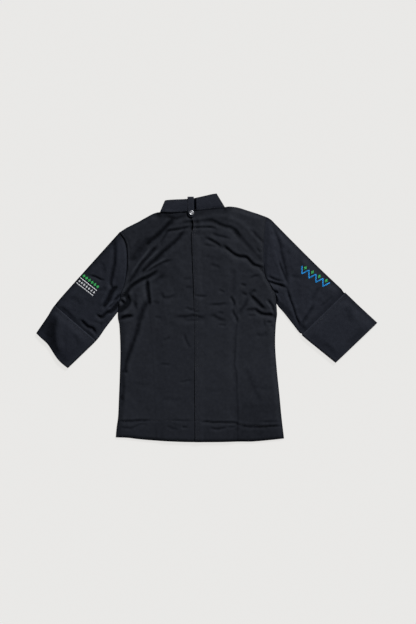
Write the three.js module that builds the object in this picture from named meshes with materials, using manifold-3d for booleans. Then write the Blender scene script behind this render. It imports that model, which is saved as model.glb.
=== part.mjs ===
// A chef jacket with a stand collar and three-quarter sleeves, laid face down and smoothed flat.
// Millimetres. The jacket lies on z = 0 with its back up, its collar towards +Y and its left sleeve
// towards -X.
// Every cloth piece is a closed wall: the fronts lie on the surface and the backs lie on the fronts.
import * as THREE from "three";
import { mergeVertices } from "three/addons/utils/BufferGeometryUtils.js";
import Module from "manifold-3d";

// Cloth and seams
const UPPER_WALL = 1.5;
const LOWER_WALL = 2;
const CUFF_WALL = 1.5;
const COLLAR_WALL = 2.5;
const SEAM_GAP = 0.3;
const LAYER_GAP = 0.4;
const LOFT = 3; // how far the upper cloth stands off the lower cloth between creases
const MOST_LOFT = 8; // folds that cross flatten out towards this height
const EDGE_FADE = 26; // width beside a closed edge over which loft and folds die away

// Driving sizes of the cut
const FRONT_LAP = 75; // each front's free edge lies this far past the centre front
const FRONT_CENTRE_X = -30;
const FRONT_NECK_DROP = 14;
const BACK_LAP = 10; // the right back covers the left back by this much
const LAP_RAMP = 24; // a lapping panel comes down to the layer below over this width
const HEM_DEPTH = 58;
const HEM_RISE = 0.8; // the turned-up hem lies this much higher than the cloth above it
const CUFF_LIFT = CUFF_WALL + SEAM_GAP;
const CUFF_INSET = 3; // the sleeve is this much narrower inside its turned-back cuff
const TAB_WIDTH = 21;
const TAB_WALL = 1.2;
const TAB_PRESS = { x: -50, y: 322, inner: 16, outer: 52 }; // the tab holds the back down around here
const STUD_RADIUS = 6.8;
const STUD_COUNT = 6;
const FRONT_STUD_HEIGHT = 1;
const STUD_CLEARANCE = 0.3;
const STUD_EDGE_INSET = 18; // front studs lie this far inside the outer front's free edge
const STUD_SIDES = 20;

// How finely each panel is divided
const BODY_ROWS_BELOW_ARM = 15;
const BODY_ROWS_AT_ARM = 20;
const BACK_COLUMNS = 17;
const FRONT_COLUMNS = 11;
const SLEEVE_ROWS = 13;
const CUFF_ROWS = 7;
const CUFF_COLUMNS = 10;
const COLLAR_COLUMNS = 22;
const COLLAR_ROWS = 4;

const CLOTH_COLOUR = 0x22252c;
const METAL_COLOUR = 0xb9bcc0;

// Left and right edges of the body: the side seam up to the underarm, then the armhole.
const LEFT_UNDERARM_Y = 20;
const LEFT_SHOULDER_Y = 268.6;
const LEFT_EDGE = [
  { y: -380, x: -289.4 },
  { y: -318, x: -284 },
  { y: -263, x: -281 },
  { y: -183, x: -277.6 },
  { y: -103, x: -275.4 },
  { y: -23, x: -279.8 },
  { y: LEFT_UNDERARM_Y, x: -284 },
  { y: 54, x: -279 },
  { y: 86, x: -269.5 },
  { y: 115, x: -260 },
  { y: 143, x: -255.8 },
  { y: 169, x: -253.3 },
  { y: 207, x: -253.3 },
  { y: 235, x: -257 },
  { y: 253, x: -264.8 },
  { y: LEFT_SHOULDER_Y, x: -277.6 },
];
const RIGHT_UNDERARM_Y = 45.6;
const RIGHT_SHOULDER_Y = 319.8;
const RIGHT_EDGE = [
  { y: -382, x: 245 },
  { y: -318, x: 239.2 },
  { y: -250, x: 232.8 },
  { y: -161, x: 223.2 },
  { y: -87, x: 218.4 },
  { y: -14, x: 221.6 },
  { y: 18, x: 224.8 },
  { y: RIGHT_UNDERARM_Y, x: 222.6 },
  { y: 79, x: 217 },
  { y: 112, x: 198 },
  { y: 130, x: 187.5 },
  { y: 161, x: 182.9 },
  { y: 223, x: 181.9 },
  { y: 256, x: 182.8 },
  { y: 300, x: 187 },
  { y: RIGHT_SHOULDER_Y, x: 191.2 },
];
// Shoulders and neck, from the left shoulder tip to the right one.
const NECK_LEFT_X = -146;
const NECK_RIGHT_X = 55;
const TOP_EDGE = [
  { x: -277.6, y: 268.6 },
  { x: -258, y: 285.6 },
  { x: -220, y: 306.4 },
  { x: -188, y: 324 },
  { x: -168, y: 334 },
  { x: NECK_LEFT_X, y: 339 },
  { x: -98, y: 337 },
  { x: -47, y: 340 },
  { x: 4, y: 345.4 },
  { x: NECK_RIGHT_X, y: 351 },
  { x: 76, y: 356 },
  { x: 94, y: 355.5 },
  { x: 129, y: 345.4 },
  { x: 158, y: 335.2 },
  { x: 191.2, y: 319.8 },
];
const HEM_EDGE = [
  { x: -289.4, y: -380 },
  { x: -255, y: -381.6 },
  { x: -198, y: -388 },
  { x: -133, y: -394 },
  { x: -65, y: -397.2 },
  { x: 26, y: -397.4 },
  { x: 106, y: -395.2 },
  { x: 177, y: -391 },
  { x: 245, y: -383 },
];
const CENTRE_BACK = [
  { y: -398, x: -36.3 },
  { y: -154, x: -38.2 },
  { y: -39, x: -38.9 },
  { y: 66, x: -40.8 },
  { y: 198, x: -45 },
  { y: 278, x: -48.5 },
  { y: 306, x: -47.2 },
  { y: 345, x: -46.6 },
];
const COLLAR_TOP = [
  { along: 0, x: -127.2, y: 375.8 },
  { along: 0.41, x: -63.2, y: 378.4 },
  { along: 0.57, x: -37.6, y: 380.6 },
  { along: 0.78, x: -5.6, y: 387.7 },
  { along: 1, x: 29.6, y: 397.68 },
];
// A sleeve's rings: 0 at the armhole, 1 where the turned-back cuff begins, 2 at the cuff's fold.
const LEFT_SLEEVE = [
  { ring: 0, outerX: -277.6, outerY: 268.6, innerX: -284, innerY: LEFT_UNDERARM_Y },
  { ring: 0.33, outerX: -335.2, outerY: 210.4, innerX: -304, innerY: -6 },
  { ring: 0.66, outerX: -405.6, outerY: 133.6, innerX: -326, innerY: -35 },
  { ring: 1, outerX: -479.2, outerY: 47.2, innerX: -350, innerY: -67.5 },
  { ring: 1.5, outerX: -510.5, outerY: 2, innerX: -397, innerY: -114 },
  { ring: 2, outerX: -544.6, outerY: -48.8, innerX: -444, innerY: -160.8 },
];
const RIGHT_SLEEVE = [
  { ring: 0, outerX: 191.2, outerY: 319.8, innerX: 222.6, innerY: RIGHT_UNDERARM_Y },
  { ring: 0.33, outerX: 269.6, outerY: 250.5, innerX: 250, innerY: 14.5 },
  { ring: 0.66, outerX: 352, outerY: 168.5, innerX: 277, innerY: -20 },
  { ring: 1, outerX: 440.2, outerY: 79.2, innerX: 305, innerY: -53 },
  { ring: 1.5, outerX: 489, outerY: 36.5, innerX: 357, innerY: -97 },
  { ring: 2, outerX: 544.6, outerY: -15.2, innerX: 412, innerY: -141.6 },
];
// How the laid cuffs wave along their fold, sideways from a straight line.
const LEFT_CUFF_WAVE = 5;
const RIGHT_CUFF_WAVE = 0;

// The largest folds and creases. Each runs from its start to its end, bowed sideways by bend. It reaches
// left and right of that line by the widths given, and rises by height, or sinks where height is negative.
const BACK_FOLDS = [
  // Right shoulder blade
  { x0: -44, y0: 306, x1: 66, y1: 300, bend: 5, left: 12, right: 12, height: -3 },
  { x0: 58, y0: 303, x1: 188, y1: 182, bend: 10, left: 20, right: 16, height: -3.4 },
  { x0: 20, y0: 282, x1: 182, y1: 168, bend: 13, left: 22, right: 20, height: 4 },
  { x0: 0, y0: 254, x1: 190, y1: 156, bend: 3, left: 12, right: 15, height: -4 },
  { x0: 20, y0: 220, x1: 176, y1: 132, bend: 6, left: 22, right: 30, height: 2.6 },
  { x0: 130, y0: 284, x1: 186, y1: 244, bend: 2, left: 14, right: 14, height: 2 },
  // Left shoulder blade, pulled towards the underarm
  { x0: -108, y0: 316, x1: -254, y1: 150, bend: 8, left: 22, right: 18, height: -3 },
  { x0: -118, y0: 286, x1: -264, y1: 104, bend: 5, left: 13, right: 13, height: 3.6 },
  { x0: -70, y0: 280, x1: -258, y1: 92, bend: 5, left: 15, right: 13, height: -3.2 },
  { x0: -112, y0: 214, x1: -262, y1: 90, bend: 14, left: 14, right: 16, height: 3.8 },
  { x0: -152, y0: 156, x1: -276, y1: 68, bend: 6, left: 18, right: 12, height: -4 },
  { x0: -246, y0: 84, x1: -188, y1: 112, bend: -14, left: 26, right: 20, height: 4.4 },
  { x0: -190, y0: 126, x1: -183, y1: 40, bend: 3, left: 12, right: 13, height: -3.6 },
  { x0: -204, y0: 108, x1: -218, y1: -30, bend: -8, left: 14, right: 22, height: 3.2 },
  { x0: -192, y0: 58, x1: -266, y1: -170, bend: -6, left: 16, right: 14, height: -3.4 },
  { x0: -262, y0: 60, x1: -270, y1: 16, bend: -12, left: 12, right: 14, height: -3 },
  // Bust line and right underarm
  { x0: -112, y0: 4, x1: 50, y1: 2, bend: 4, left: 13, right: 13, height: -2.6 },
  { x0: -90, y0: 26, x1: 70, y1: 24, bend: 5, left: 16, right: 16, height: 1.6 },
  { x0: 92, y0: 152, x1: 90, y1: 52, bend: 0, left: 15, right: 15, height: -2.2 },
  { x0: 92, y0: 8, x1: 136, y1: 76, bend: -4, left: 12, right: 12, height: -2.4 },
  { x0: 138, y0: 84, x1: 214, y1: 24, bend: 8, left: 16, right: 16, height: 3.6 },
  { x0: 152, y0: 66, x1: 226, y1: 8, bend: -14, left: 13, right: 13, height: -3.4 },
  // Long darts, and the drag line beside the right one
  { x0: -186, y0: 30, x1: -163, y1: -360, bend: 0, left: 14, right: 14, height: -1.6 },
  { x0: 94, y0: 20, x1: 98, y1: -366, bend: 3, left: 13, right: 13, height: -2.4 },
  { x0: 118, y0: -158, x1: 178, y1: -290, bend: 3, left: 16, right: 16, height: -2 },
  // The crease at the top of the turned-up hem
  { x0: -284, y0: -328, x1: -44, y1: -327, bend: 0, left: 12, right: 12, height: -1.8 },
  { x0: -34, y0: -328, x1: 240, y1: -345, bend: 3, left: 12, right: 12, height: -2 },
];
const LEFT_SLEEVE_FOLDS = [
  { x0: -292, y0: 254, x1: -309, y1: 86, bend: 6, left: 34, right: 13, height: 2.6 },
  { x0: -304, y0: 240, x1: -318, y1: 90, bend: 6, left: 13, right: 18, height: -2.6 },
  { x0: -290, y0: 96, x1: -326, y1: 34, bend: -6, left: 13, right: 15, height: -3.4 },
  { x0: -276, y0: 78, x1: -338, y1: 10, bend: 4, left: 12, right: 12, height: 2.6 },
  { x0: -268, y0: 58, x1: -346, y1: 0, bend: 4, left: 12, right: 12, height: -3 },
  { x0: -372, y0: 136, x1: -324, y1: 118, bend: 0, left: 12, right: 12, height: -1.8 },
  { x0: -404, y0: -4, x1: -350, y1: -54, bend: 5, left: 12, right: 12, height: -2.8 },
];
const RIGHT_SLEEVE_FOLDS = [
  { x0: 212, y0: 300, x1: 260, y1: 92, bend: 8, left: 13, right: 34, height: 3 },
  { x0: 228, y0: 286, x1: 272, y1: 92, bend: 8, left: 18, right: 13, height: -2.4 },
  { x0: 190, y0: 118, x1: 262, y1: 94, bend: 4, left: 15, right: 13, height: -3 },
  { x0: 264, y0: 92, x1: 306, y1: -46, bend: 2, left: 26, right: 13, height: 2.6 },
  { x0: 248, y0: 82, x1: 298, y1: -40, bend: 3, left: 12, right: 14, height: -2.8 },
  { x0: 414, y0: 88, x1: 308, y1: -18, bend: 2, left: 12, right: 12, height: -1.6 },
  { x0: 362, y0: 106, x1: 300, y1: 0, bend: 2, left: 14, right: 14, height: -1.4 },
];
const LEFT_CUFF_FOLDS = [
  { x0: -484, y0: 6, x1: -478, y1: -124, bend: -10, left: 22, right: 16, height: -3.4 },
  { x0: -512, y0: -16, x1: -496, y1: -98, bend: -6, left: 15, right: 13, height: 1.6 },
];
const RIGHT_CUFF_FOLDS = [
  { x0: 470, y0: 20, x1: 420, y1: -60, bend: 4, left: 30, right: 30, height: -1.2 },
  { x0: 380, y0: -70, x1: 416, y1: -120, bend: 0, left: 24, right: 24, height: -1.2 },
];

const clamp = (value) => Math.min(Math.max(value, 0), 1);
const mix = (a, b, share) => a + (b - a) * share;
const ease = (from, to, value) => {
  const t = clamp((value - from) / (to - from));
  return t * t * (3 - 2 * t);
};
const evenly = (parts, from = 0, to = 1) =>
  Array.from({ length: parts + 1 }, (_, i) => mix(from, to, i / parts));

// The value of a column at a place along a table's key column, on a smooth curve through its rows.
function read(table, key, column, at) {
  const last = table.length - 1;
  if (at <= table[0][key]) return table[0][column];
  if (at >= table[last][key]) return table[last][column];
  const low = table.findIndex((row, n) => n < last && at < table[n + 1][key]);
  const slope = (n) => {
    const before = table[Math.max(n - 1, 0)];
    const after = table[Math.min(n + 1, last)];
    return (after[column] - before[column]) / (after[key] - before[key]);
  };
  const a = table[low];
  const b = table[low + 1];
  const step = b[key] - a[key];
  const t = (at - a[key]) / step;
  return (
    a[column] * (1 + 2 * t) * (1 - t) ** 2 +
    slope(low) * step * t * (1 - t) ** 2 +
    b[column] * t * t * (3 - 2 * t) +
    slope(low + 1) * step * t * t * (t - 1)
  );
}

// How far a list of folds lifts or sinks the cloth at a place.
function foldHeight(folds, x, y) {
  let total = 0;
  for (const fold of folds) {
    const length = Math.hypot(fold.x1 - fold.x0, fold.y1 - fold.y0);
    const dx = (fold.x1 - fold.x0) / length;
    const dy = (fold.y1 - fold.y0) / length;
    const along = ((x - fold.x0) * dx + (y - fold.y0) * dy) / length;
    if (along <= 0 || along >= 1) continue;
    const toLeft = (y - fold.y0) * dx - (x - fold.x0) * dy - fold.bend * 4 * along * (1 - along);
    const reach = Math.abs(toLeft) / (toLeft > 0 ? fold.left : fold.right);
    if (reach >= 1) continue;
    const taper = ease(0, 0.2, along) * ease(0, 0.2, 1 - along);
    total += (fold.height * taper * (1 + Math.cos(Math.PI * reach))) / 2;
  }
  return total;
}

// A closed wall below an outer face. columns and rows are the shares u and v at which face(u, v) is taken.
function clothPanel(name, columns, rows, face, wall) {
  const across = columns.length;
  const count = across * rows.length;
  const outer = rows.flatMap((v) => columns.map((u) => face(u, v)));
  const positions = [...outer, ...outer.map(([x, y, z]) => [x, y, z - wall])].flat();
  const [a, b, c] = [outer[0], outer[across - 1], outer[count - 1]];
  const facesUp = (b[0] - a[0]) * (c[1] - a[1]) > (b[1] - a[1]) * (c[0] - a[0]);
  const index = [];
  const quad = (p, q, r, s) => index.push(...(facesUp ? [p, q, r, p, r, s] : [p, r, q, p, s, r]));
  for (let j = 0; j < rows.length - 1; j++)
    for (let i = 0; i < across - 1; i++) {
      const k = j * across + i;
      quad(k, k + 1, k + across + 1, k + across);
      quad(count + k, count + k + across, count + k + across + 1, count + k + 1);
    }
  for (let i = 0; i < across - 1; i++) {
    const top = (rows.length - 1) * across + i;
    quad(count + i, count + i + 1, i + 1, i);
    quad(top, top + 1, count + top + 1, count + top);
  }
  for (let j = 0; j < rows.length - 1; j++) {
    const left = j * across;
    const right = left + across - 1;
    quad(left, left + across, count + left + across, count + left);
    quad(count + right, count + right + across, right + across, right);
  }
  const geometry = new THREE.BufferGeometry();
  geometry.setAttribute("position", new THREE.Float32BufferAttribute(positions, 3));
  geometry.setIndex(index);
  return named(name, geometry, CLOTH_COLOUR);
}

function named(name, geometry, color, metalness = 0) {
  geometry.computeVertexNormals();
  const material = new THREE.MeshStandardMaterial({ color, metalness, roughness: metalness ? 0.35 : 0.9 });
  const mesh = new THREE.Mesh(geometry, material);
  mesh.name = name;
  return mesh;
}

// The two halves of the body. outward is -1 on the left and 1 on the right.
const LEFT = { edge: LEFT_EDGE, underarmY: LEFT_UNDERARM_Y, shoulderY: LEFT_SHOULDER_Y, outward: -1 };
const RIGHT = { edge: RIGHT_EDGE, underarmY: RIGHT_UNDERARM_Y, shoulderY: RIGHT_SHOULDER_Y, outward: 1 };

const sideX = (half, y) => read(half.edge, "y", "x", y);
const centreX = (y) => read(CENTRE_BACK, "y", "x", y);

// Rows that hold the underarm, so that a sleeve's points at the armhole meet the body's one for one.
function bodyRows(half, coarse) {
  const hemY = half.edge[0].y;
  const underarm = (half.underarmY - hemY) / (half.shoulderY - hemY);
  return [
    ...evenly(BODY_ROWS_BELOW_ARM / coarse, 0, underarm),
    ...evenly(BODY_ROWS_AT_ARM / coarse, underarm, 1).slice(1),
  ];
}

// A point of a body panel: u from the side to the inner edge, v from the hem to the shoulder.
function bodyPoint(half, innerX, topDrop, u, v) {
  const hemX = mix(half.edge[0].x, innerX(half.edge[0].y), u);
  const shoulderX = mix(half.edge.at(-1).x, innerX(half.shoulderY), u);
  const top = read(TOP_EDGE, "x", "y", shoulderX) - topDrop(shoulderX);
  const y = mix(read(HEM_EDGE, "x", "y", hemX), top, v);
  return [mix(sideX(half, y), innerX(y), u), y];
}

// How far the neck of the fronts lies below the neck of the back.
const frontDrop = (x) =>
  FRONT_NECK_DROP * Math.sin(Math.PI * clamp((x - NECK_LEFT_X) / (NECK_RIGHT_X - NECK_LEFT_X)));

// How far cloth stands off the layer below, for its folds and for how free it is to rise.
const standOff = (fold, free) => Math.max(0, MOST_LOFT * Math.tanh(((LOFT + fold) * free) / MOST_LOFT));

// The height that the upper cloth has to clear, over the single fronts and over their overlap.
function restingHeight(x) {
  const fromCentre = Math.abs(x - FRONT_CENTRE_X);
  const single = LOWER_WALL + LAYER_GAP;
  const overlap = 2 * LOWER_WALL + SEAM_GAP + LAYER_GAP;
  return mix(overlap, single, ease(FRONT_LAP + 20, FRONT_LAP + 60, fromCentre));
}

function backPanel(name, half) {
  const isRight = half === RIGHT;
  const innerX = (y) => centreX(y) + (isRight ? 0 : BACK_LAP);
  const lapLift = UPPER_WALL + SEAM_GAP;
  const face = (u, v) => {
    const [x, y] = bodyPoint(half, innerX, () => 0, u, v);
    const fromSide = Math.abs(x - sideX(half, y));
    const fromTop = read(TOP_EDGE, "x", "y", x) - y;
    const fromHem = y - read(HEM_EDGE, "x", "y", x);
    const fromCentre = Math.abs(x - centreX(y));
    const closedSide = 1 - ease(half.underarmY, half.underarmY + 60, y);
    const settled = mix(ease(0, EDGE_FADE / 2, fromSide), ease(0, EDGE_FADE, fromSide), closedSide);
    const fromTab = Math.hypot(x - TAB_PRESS.x, y - TAB_PRESS.y);
    const pressed = ease(TAB_PRESS.inner, TAB_PRESS.outer, fromTab);
    const free = settled * pressed * ease(0, EDGE_FADE, fromTop) * ease(0, EDGE_FADE / 2, fromHem);
    const puff = standOff(foldHeight(BACK_FOLDS, x, y), free);
    const centreSettle = isRight ? 1 : ease(0, LAP_RAMP, fromCentre - BACK_LAP);
    const lap = isRight ? lapLift * (1 - ease(BACK_LAP + 2, BACK_LAP + LAP_RAMP, fromCentre)) : 0;
    const hem = HEM_RISE * (1 - ease(HEM_DEPTH - 8, HEM_DEPTH, fromHem)) * centreSettle;
    const z = restingHeight(x) + UPPER_WALL + puff * centreSettle + lap + hem;
    return [x, y, z];
  };
  return clothPanel(name, evenly(BACK_COLUMNS), bodyRows(half, 1), face, UPPER_WALL);
}

// The left front is the outer one, so it lies lowest. The right front climbs over its free edge.
function frontPanel(name, half) {
  const isRight = half === RIGHT;
  const freeX = FRONT_CENTRE_X - half.outward * FRONT_LAP;
  const coverX = FRONT_CENTRE_X + FRONT_LAP;
  const climb = [coverX + 45, coverX + 15];
  const columns = evenly(FRONT_COLUMNS);
  const face = (u, v) => {
    const [x, y] = bodyPoint(half, () => freeX, frontDrop, u, v);
    const lift = isRight ? (LOWER_WALL + SEAM_GAP) * clamp((climb[0] - x) / (climb[0] - climb[1])) : 0;
    return [x, y, LOWER_WALL + lift];
  };
  const climbShares = climb.map((x) => (sideX(half, 0) - x) / (sideX(half, 0) - freeX));
  const shares = isRight ? [...columns, ...climbShares].sort((a, b) => a - b) : columns;
  return clothPanel(name, shares, bodyRows(half, 5), face, LOWER_WALL);
}

const LEFT_ARM = {
  half: LEFT,
  rings: LEFT_SLEEVE,
  folds: LEFT_SLEEVE_FOLDS,
  cuffFolds: LEFT_CUFF_FOLDS,
  wave: LEFT_CUFF_WAVE,
};
const RIGHT_ARM = {
  half: RIGHT,
  rings: RIGHT_SLEEVE,
  folds: RIGHT_SLEEVE_FOLDS,
  cuffFolds: RIGHT_CUFF_FOLDS,
  wave: RIGHT_CUFF_WAVE,
};

// A point of a sleeve: across from its outer edge to its underarm edge, ring from the armhole to the cuff.
function sleevePoint(arm, across, ring) {
  const at = (column) => read(arm.rings, "ring", column, ring);
  const armholeY = mix(arm.half.shoulderY, arm.half.underarmY, across);
  const straightX = mix(arm.rings[0].outerX, arm.rings[0].innerX, across);
  const bow = sideX(arm.half, armholeY) - straightX;
  const wave = arm.wave * Math.sin(2 * Math.PI * across) * ease(1.4, 2, ring);
  const x = mix(at("outerX"), at("innerX"), across) + bow * (1 - ease(0, 0.8, ring));
  const y = mix(at("outerY"), at("innerY"), across);
  return [x + wave, y + wave];
}

// A sleeve's width at a ring.
function sleeveSpan(arm, ring) {
  const [x0, y0] = sleevePoint(arm, 0, ring);
  const [x1, y1] = sleevePoint(arm, 1, ring);
  return Math.hypot(x1 - x0, y1 - y0);
}

// Rings at which a sleeve is divided. They close up where the cuff begins, and the sleeve ends inside
// the cuff.
const SLEEVE_END = 1.97;
const UPPER_SLEEVE_RINGS = [...evenly(SLEEVE_ROWS, 0, 0.93), 0.99, 1.08, 1.5, SLEEVE_END];
const LOWER_SLEEVE_RINGS = [...evenly(4, 0, 0.9), 0.98, 1.08, SLEEVE_END];

function sleevePanel(name, arm, isUpper) {
  const columns = evenly(isUpper ? BODY_ROWS_AT_ARM : BODY_ROWS_AT_ARM / 5);
  const wall = isUpper ? UPPER_WALL : LOWER_WALL;
  const face = (across, ring) => {
    const span = sleeveSpan(arm, ring);
    const inset = CUFF_INSET * ease(0.93, 0.99, ring);
    const [x, y] = sleevePoint(arm, mix(inset / span, 1 - inset / span, across), ring);
    const fromEdge = Math.min(across, 1 - across) * span;
    const inCuff = ease(0.9, 0.99, ring);
    const free = ease(0, EDGE_FADE, fromEdge) * ease(0, 0.07, ring) * (1 - inCuff);
    const puff = standOff(foldHeight(arm.folds, x, y), free);
    const z = isUpper
      ? LOWER_WALL + LAYER_GAP + UPPER_WALL + puff + CUFF_LIFT * inCuff
      : LOWER_WALL + CUFF_LIFT * clamp((ring - 0.9) / 0.08);
    return [x + (ring === 0 ? arm.half.outward * (SEAM_GAP + 0.1) : 0), y, z];
  };
  return clothPanel(name, columns, isUpper ? UPPER_SLEEVE_RINGS : LOWER_SLEEVE_RINGS, face, wall);
}

// The turned-back cuff: its upper half covers the sleeve's end and comes down beside it to meet its
// lower half.
function cuffPanel(name, arm, isUpper) {
  const span = sleeveSpan(arm, 1.5);
  const brim = (CUFF_INSET - 0.2) / span;
  const columns = isUpper ? [0, brim, ...evenly(CUFF_COLUMNS, 0.04, 0.96), 1 - brim, 1] : evenly(4);
  const sleeveTop = LOWER_WALL + LAYER_GAP + UPPER_WALL + CUFF_LIFT;
  const face = (across, ring) => {
    const [x, y] = sleevePoint(arm, across, ring);
    const atEdge = across === 0 || across === 1;
    const fromEdge = Math.min(across, 1 - across) * span;
    const free = ease(0, EDGE_FADE, fromEdge) * ease(1, 1.12, ring);
    const puff = standOff(foldHeight(arm.cuffFolds, x, y), free);
    const upperZ = atEdge ? CUFF_WALL * 2 + SEAM_GAP : sleeveTop + SEAM_GAP + CUFF_WALL + puff;
    return [x, y, isUpper ? upperZ : CUFF_WALL];
  };
  return clothPanel(name, columns, evenly(isUpper ? CUFF_ROWS : 3, 1, 2), face, CUFF_WALL);
}

// A point of the stand collar: u from its left end to its right end, v from the neck seam to its top edge.
function collarPoint(u, v, drop, gap) {
  const neckX = mix(NECK_LEFT_X, NECK_RIGHT_X, u);
  const neckY = read(TOP_EDGE, "x", "y", neckX) - drop(neckX) + gap;
  const x = mix(neckX, read(COLLAR_TOP, "along", "x", u), v);
  return [x, mix(neckY, read(COLLAR_TOP, "along", "y", u), v)];
}

const COLLAR_BACK_Z = COLLAR_WALL + TAB_WALL + 2 * SEAM_GAP + COLLAR_WALL;
const COLLAR_GROOVE = { x: -38, reach: 8, depth: 0.9 };

function collarBack() {
  const face = (u, v) => {
    const [x, y] = collarPoint(u, v, () => 0, 2 * SEAM_GAP);
    const groove = COLLAR_GROOVE.depth * clamp(1 - Math.abs(x - COLLAR_GROOVE.x) / COLLAR_GROOVE.reach);
    const crown = 1.2 * Math.sin(Math.PI * u) * Math.sin(Math.PI * v);
    return [x, y, COLLAR_BACK_Z + crown - groove * Math.sin(Math.PI * v)];
  };
  return clothPanel("collar_back", evenly(COLLAR_COLUMNS), evenly(COLLAR_ROWS), face, COLLAR_WALL);
}

// The collar's two front ends, which lie under its back and meet at the centre front.
function collarFront(name, from, to) {
  const face = (u, v) => {
    const [x, y] = collarPoint(mix(from, to, u), v, frontDrop, 4 * SEAM_GAP);
    return [x, y, COLLAR_WALL];
  };
  return clothPanel(name, evenly(7), evenly(2), face, COLLAR_WALL);
}

// The tab that holds an apron's strap: it rises inside the collar, folds over the top edge and
// comes down outside to the stud. Each station is a place along it.
const TAB_FOLD_Y = 384.4;
const TAB_STATIONS = [
  { y: 366, z: COLLAR_WALL + SEAM_GAP + TAB_WALL / 2, x: -52.4, halfWidth: TAB_WIDTH / 2 },
  { y: TAB_FOLD_Y - 1, z: COLLAR_WALL + SEAM_GAP + TAB_WALL / 2, x: -52.2, halfWidth: TAB_WIDTH / 2 },
  { y: TAB_FOLD_Y + 1, z: 4.2, x: -52, halfWidth: TAB_WIDTH / 2 },
  { y: TAB_FOLD_Y + 1.6, z: 6.2, x: -52, halfWidth: TAB_WIDTH / 2 },
  { y: TAB_FOLD_Y + 0.6, z: 8, x: -52, halfWidth: TAB_WIDTH / 2 },
  { y: TAB_FOLD_Y - 2, z: 8.9, x: -52, halfWidth: TAB_WIDTH / 2 },
  { y: 364, z: 9.6, x: -51.2, halfWidth: TAB_WIDTH / 2 },
  { y: 344, z: 9.6, x: -49.4, halfWidth: TAB_WIDTH / 2 },
  { y: 326, z: 9.4, x: -48.6, halfWidth: TAB_WIDTH / 2 },
  { y: 317.6, z: 9.2, x: -48.4, halfWidth: 2 },
];

function apronTab() {
  const positions = TAB_STATIONS.flatMap(({ y, z, x, halfWidth }, n) => {
    const before = TAB_STATIONS[Math.max(n - 1, 0)];
    const after = TAB_STATIONS[Math.min(n + 1, TAB_STATIONS.length - 1)];
    const length = Math.hypot(after.y - before.y, after.z - before.z);
    const ny = (((after.z - before.z) / length) * TAB_WALL) / 2;
    const nz = ((-(after.y - before.y) / length) * TAB_WALL) / 2;
    const corner = (side, out) => [x + side * halfWidth, y + out * ny, z + out * nz];
    return [corner(-1, 1), corner(1, 1), corner(1, -1), corner(-1, -1)].flat();
  });
  const index = [];
  const last = TAB_STATIONS.length - 1;
  for (let n = 0; n < last; n++)
    for (let side = 0; side < 4; side++) {
      const [a, b] = [4 * n + side, 4 * n + ((side + 1) % 4)];
      index.push(a, a + 4, b + 4, a, b + 4, b);
    }
  index.push(0, 1, 2, 0, 2, 3);
  index.push(4 * last, 4 * last + 2, 4 * last + 1, 4 * last, 4 * last + 3, 4 * last + 2);
  const geometry = new THREE.BufferGeometry();
  geometry.setAttribute("position", new THREE.Float32BufferAttribute(positions, 3));
  geometry.setIndex(index);
  return named("apron_tab", geometry, CLOTH_COLOUR);
}

// A press stud's cap: a rolled ring round a sunk middle with a small post.
const CAP_PROFILE = [
  { r: 0, z: 0 },
  { r: 6.2, z: 0 },
  { r: STUD_RADIUS, z: 0.6 },
  { r: 6.6, z: 1.4 },
  { r: 5.6, z: 1.9 },
  { r: 4.3, z: 1.7 },
  { r: 3.6, z: 1 },
  { r: 2.3, z: 0.9 },
  { r: 1.7, z: 1.5 },
  { r: 0, z: 1.6 },
];
const NECK_STUD = { x: -48.8, y: 335.2, z: 9.5 + TAB_WALL / 2 + 0.1 + SEAM_GAP };

function turned(profile) {
  const geometry = new THREE.LatheGeometry(
    profile.map(({ r, z }) => new THREE.Vector2(r, z)),
    STUD_SIDES,
  );
  return geometry.rotateX(Math.PI / 2);
}

function neckStud() {
  const stud = named("neck_stud", turned(CAP_PROFILE), METAL_COLOUR, 0.9);
  stud.position.set(NECK_STUD.x, NECK_STUD.y, NECK_STUD.z);
  return stud;
}

// Places of the front studs, down the outer front's free edge.
const STUD_TOP_Y = 300;
const STUD_STEP = 112;
const frontStudPlaces = Array.from({ length: STUD_COUNT }, (_, n) => ({
  x: FRONT_CENTRE_X + FRONT_LAP - STUD_EDGE_INSET,
  y: STUD_TOP_Y - n * STUD_STEP,
}));
const disc = (radius, height) => [
  { r: 0, z: 0 },
  { r: radius, z: 0 },
  { r: radius, z: height },
  { r: 0, z: height },
];

function frontStud(place, n) {
  const stud = named(`front_stud_${n + 1}`, turned(disc(STUD_RADIUS, FRONT_STUD_HEIGHT)), METAL_COLOUR, 0.9);
  stud.position.set(place.x, place.y, 0);
  return stud;
}

const wasm = await Module();
wasm.setup();

function solidOf(geometry) {
  const bare = geometry.clone();
  bare.deleteAttribute("normal");
  bare.deleteAttribute("uv");
  const merged = mergeVertices(bare, 1e-3);
  return new wasm.Manifold(
    new wasm.Mesh({
      numProp: 3,
      vertProperties: merged.getAttribute("position").array,
      triVerts: new Uint32Array(merged.index.array),
    }),
  );
}

// Sinks the front studs' caps into the outer front, so that it still lies flat.
function withStudRecesses(panel) {
  let solid = solidOf(panel.geometry);
  for (const { x, y } of frontStudPlaces) {
    const below = -1;
    const recess = turned(disc(STUD_RADIUS + STUD_CLEARANCE, FRONT_STUD_HEIGHT + STUD_CLEARANCE - below));
    solid = solid.subtract(solidOf(recess.translate(x, y, below)));
  }
  const cut = solid.getMesh();
  const geometry = new THREE.BufferGeometry();
  geometry.setAttribute("position", new THREE.BufferAttribute(cut.vertProperties, 3));
  geometry.setIndex(new THREE.BufferAttribute(cut.triVerts, 1));
  return named(panel.name, geometry, CLOTH_COLOUR);
}

function arm(side, spec) {
  const group = new THREE.Group();
  group.add(
    sleevePanel(`sleeve_${side}_back`, spec, true),
    sleevePanel(`sleeve_${side}_front`, spec, false),
    cuffPanel(`cuff_${side}_back`, spec, true),
    cuffPanel(`cuff_${side}_front`, spec, false),
  );
  return group;
}

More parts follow.
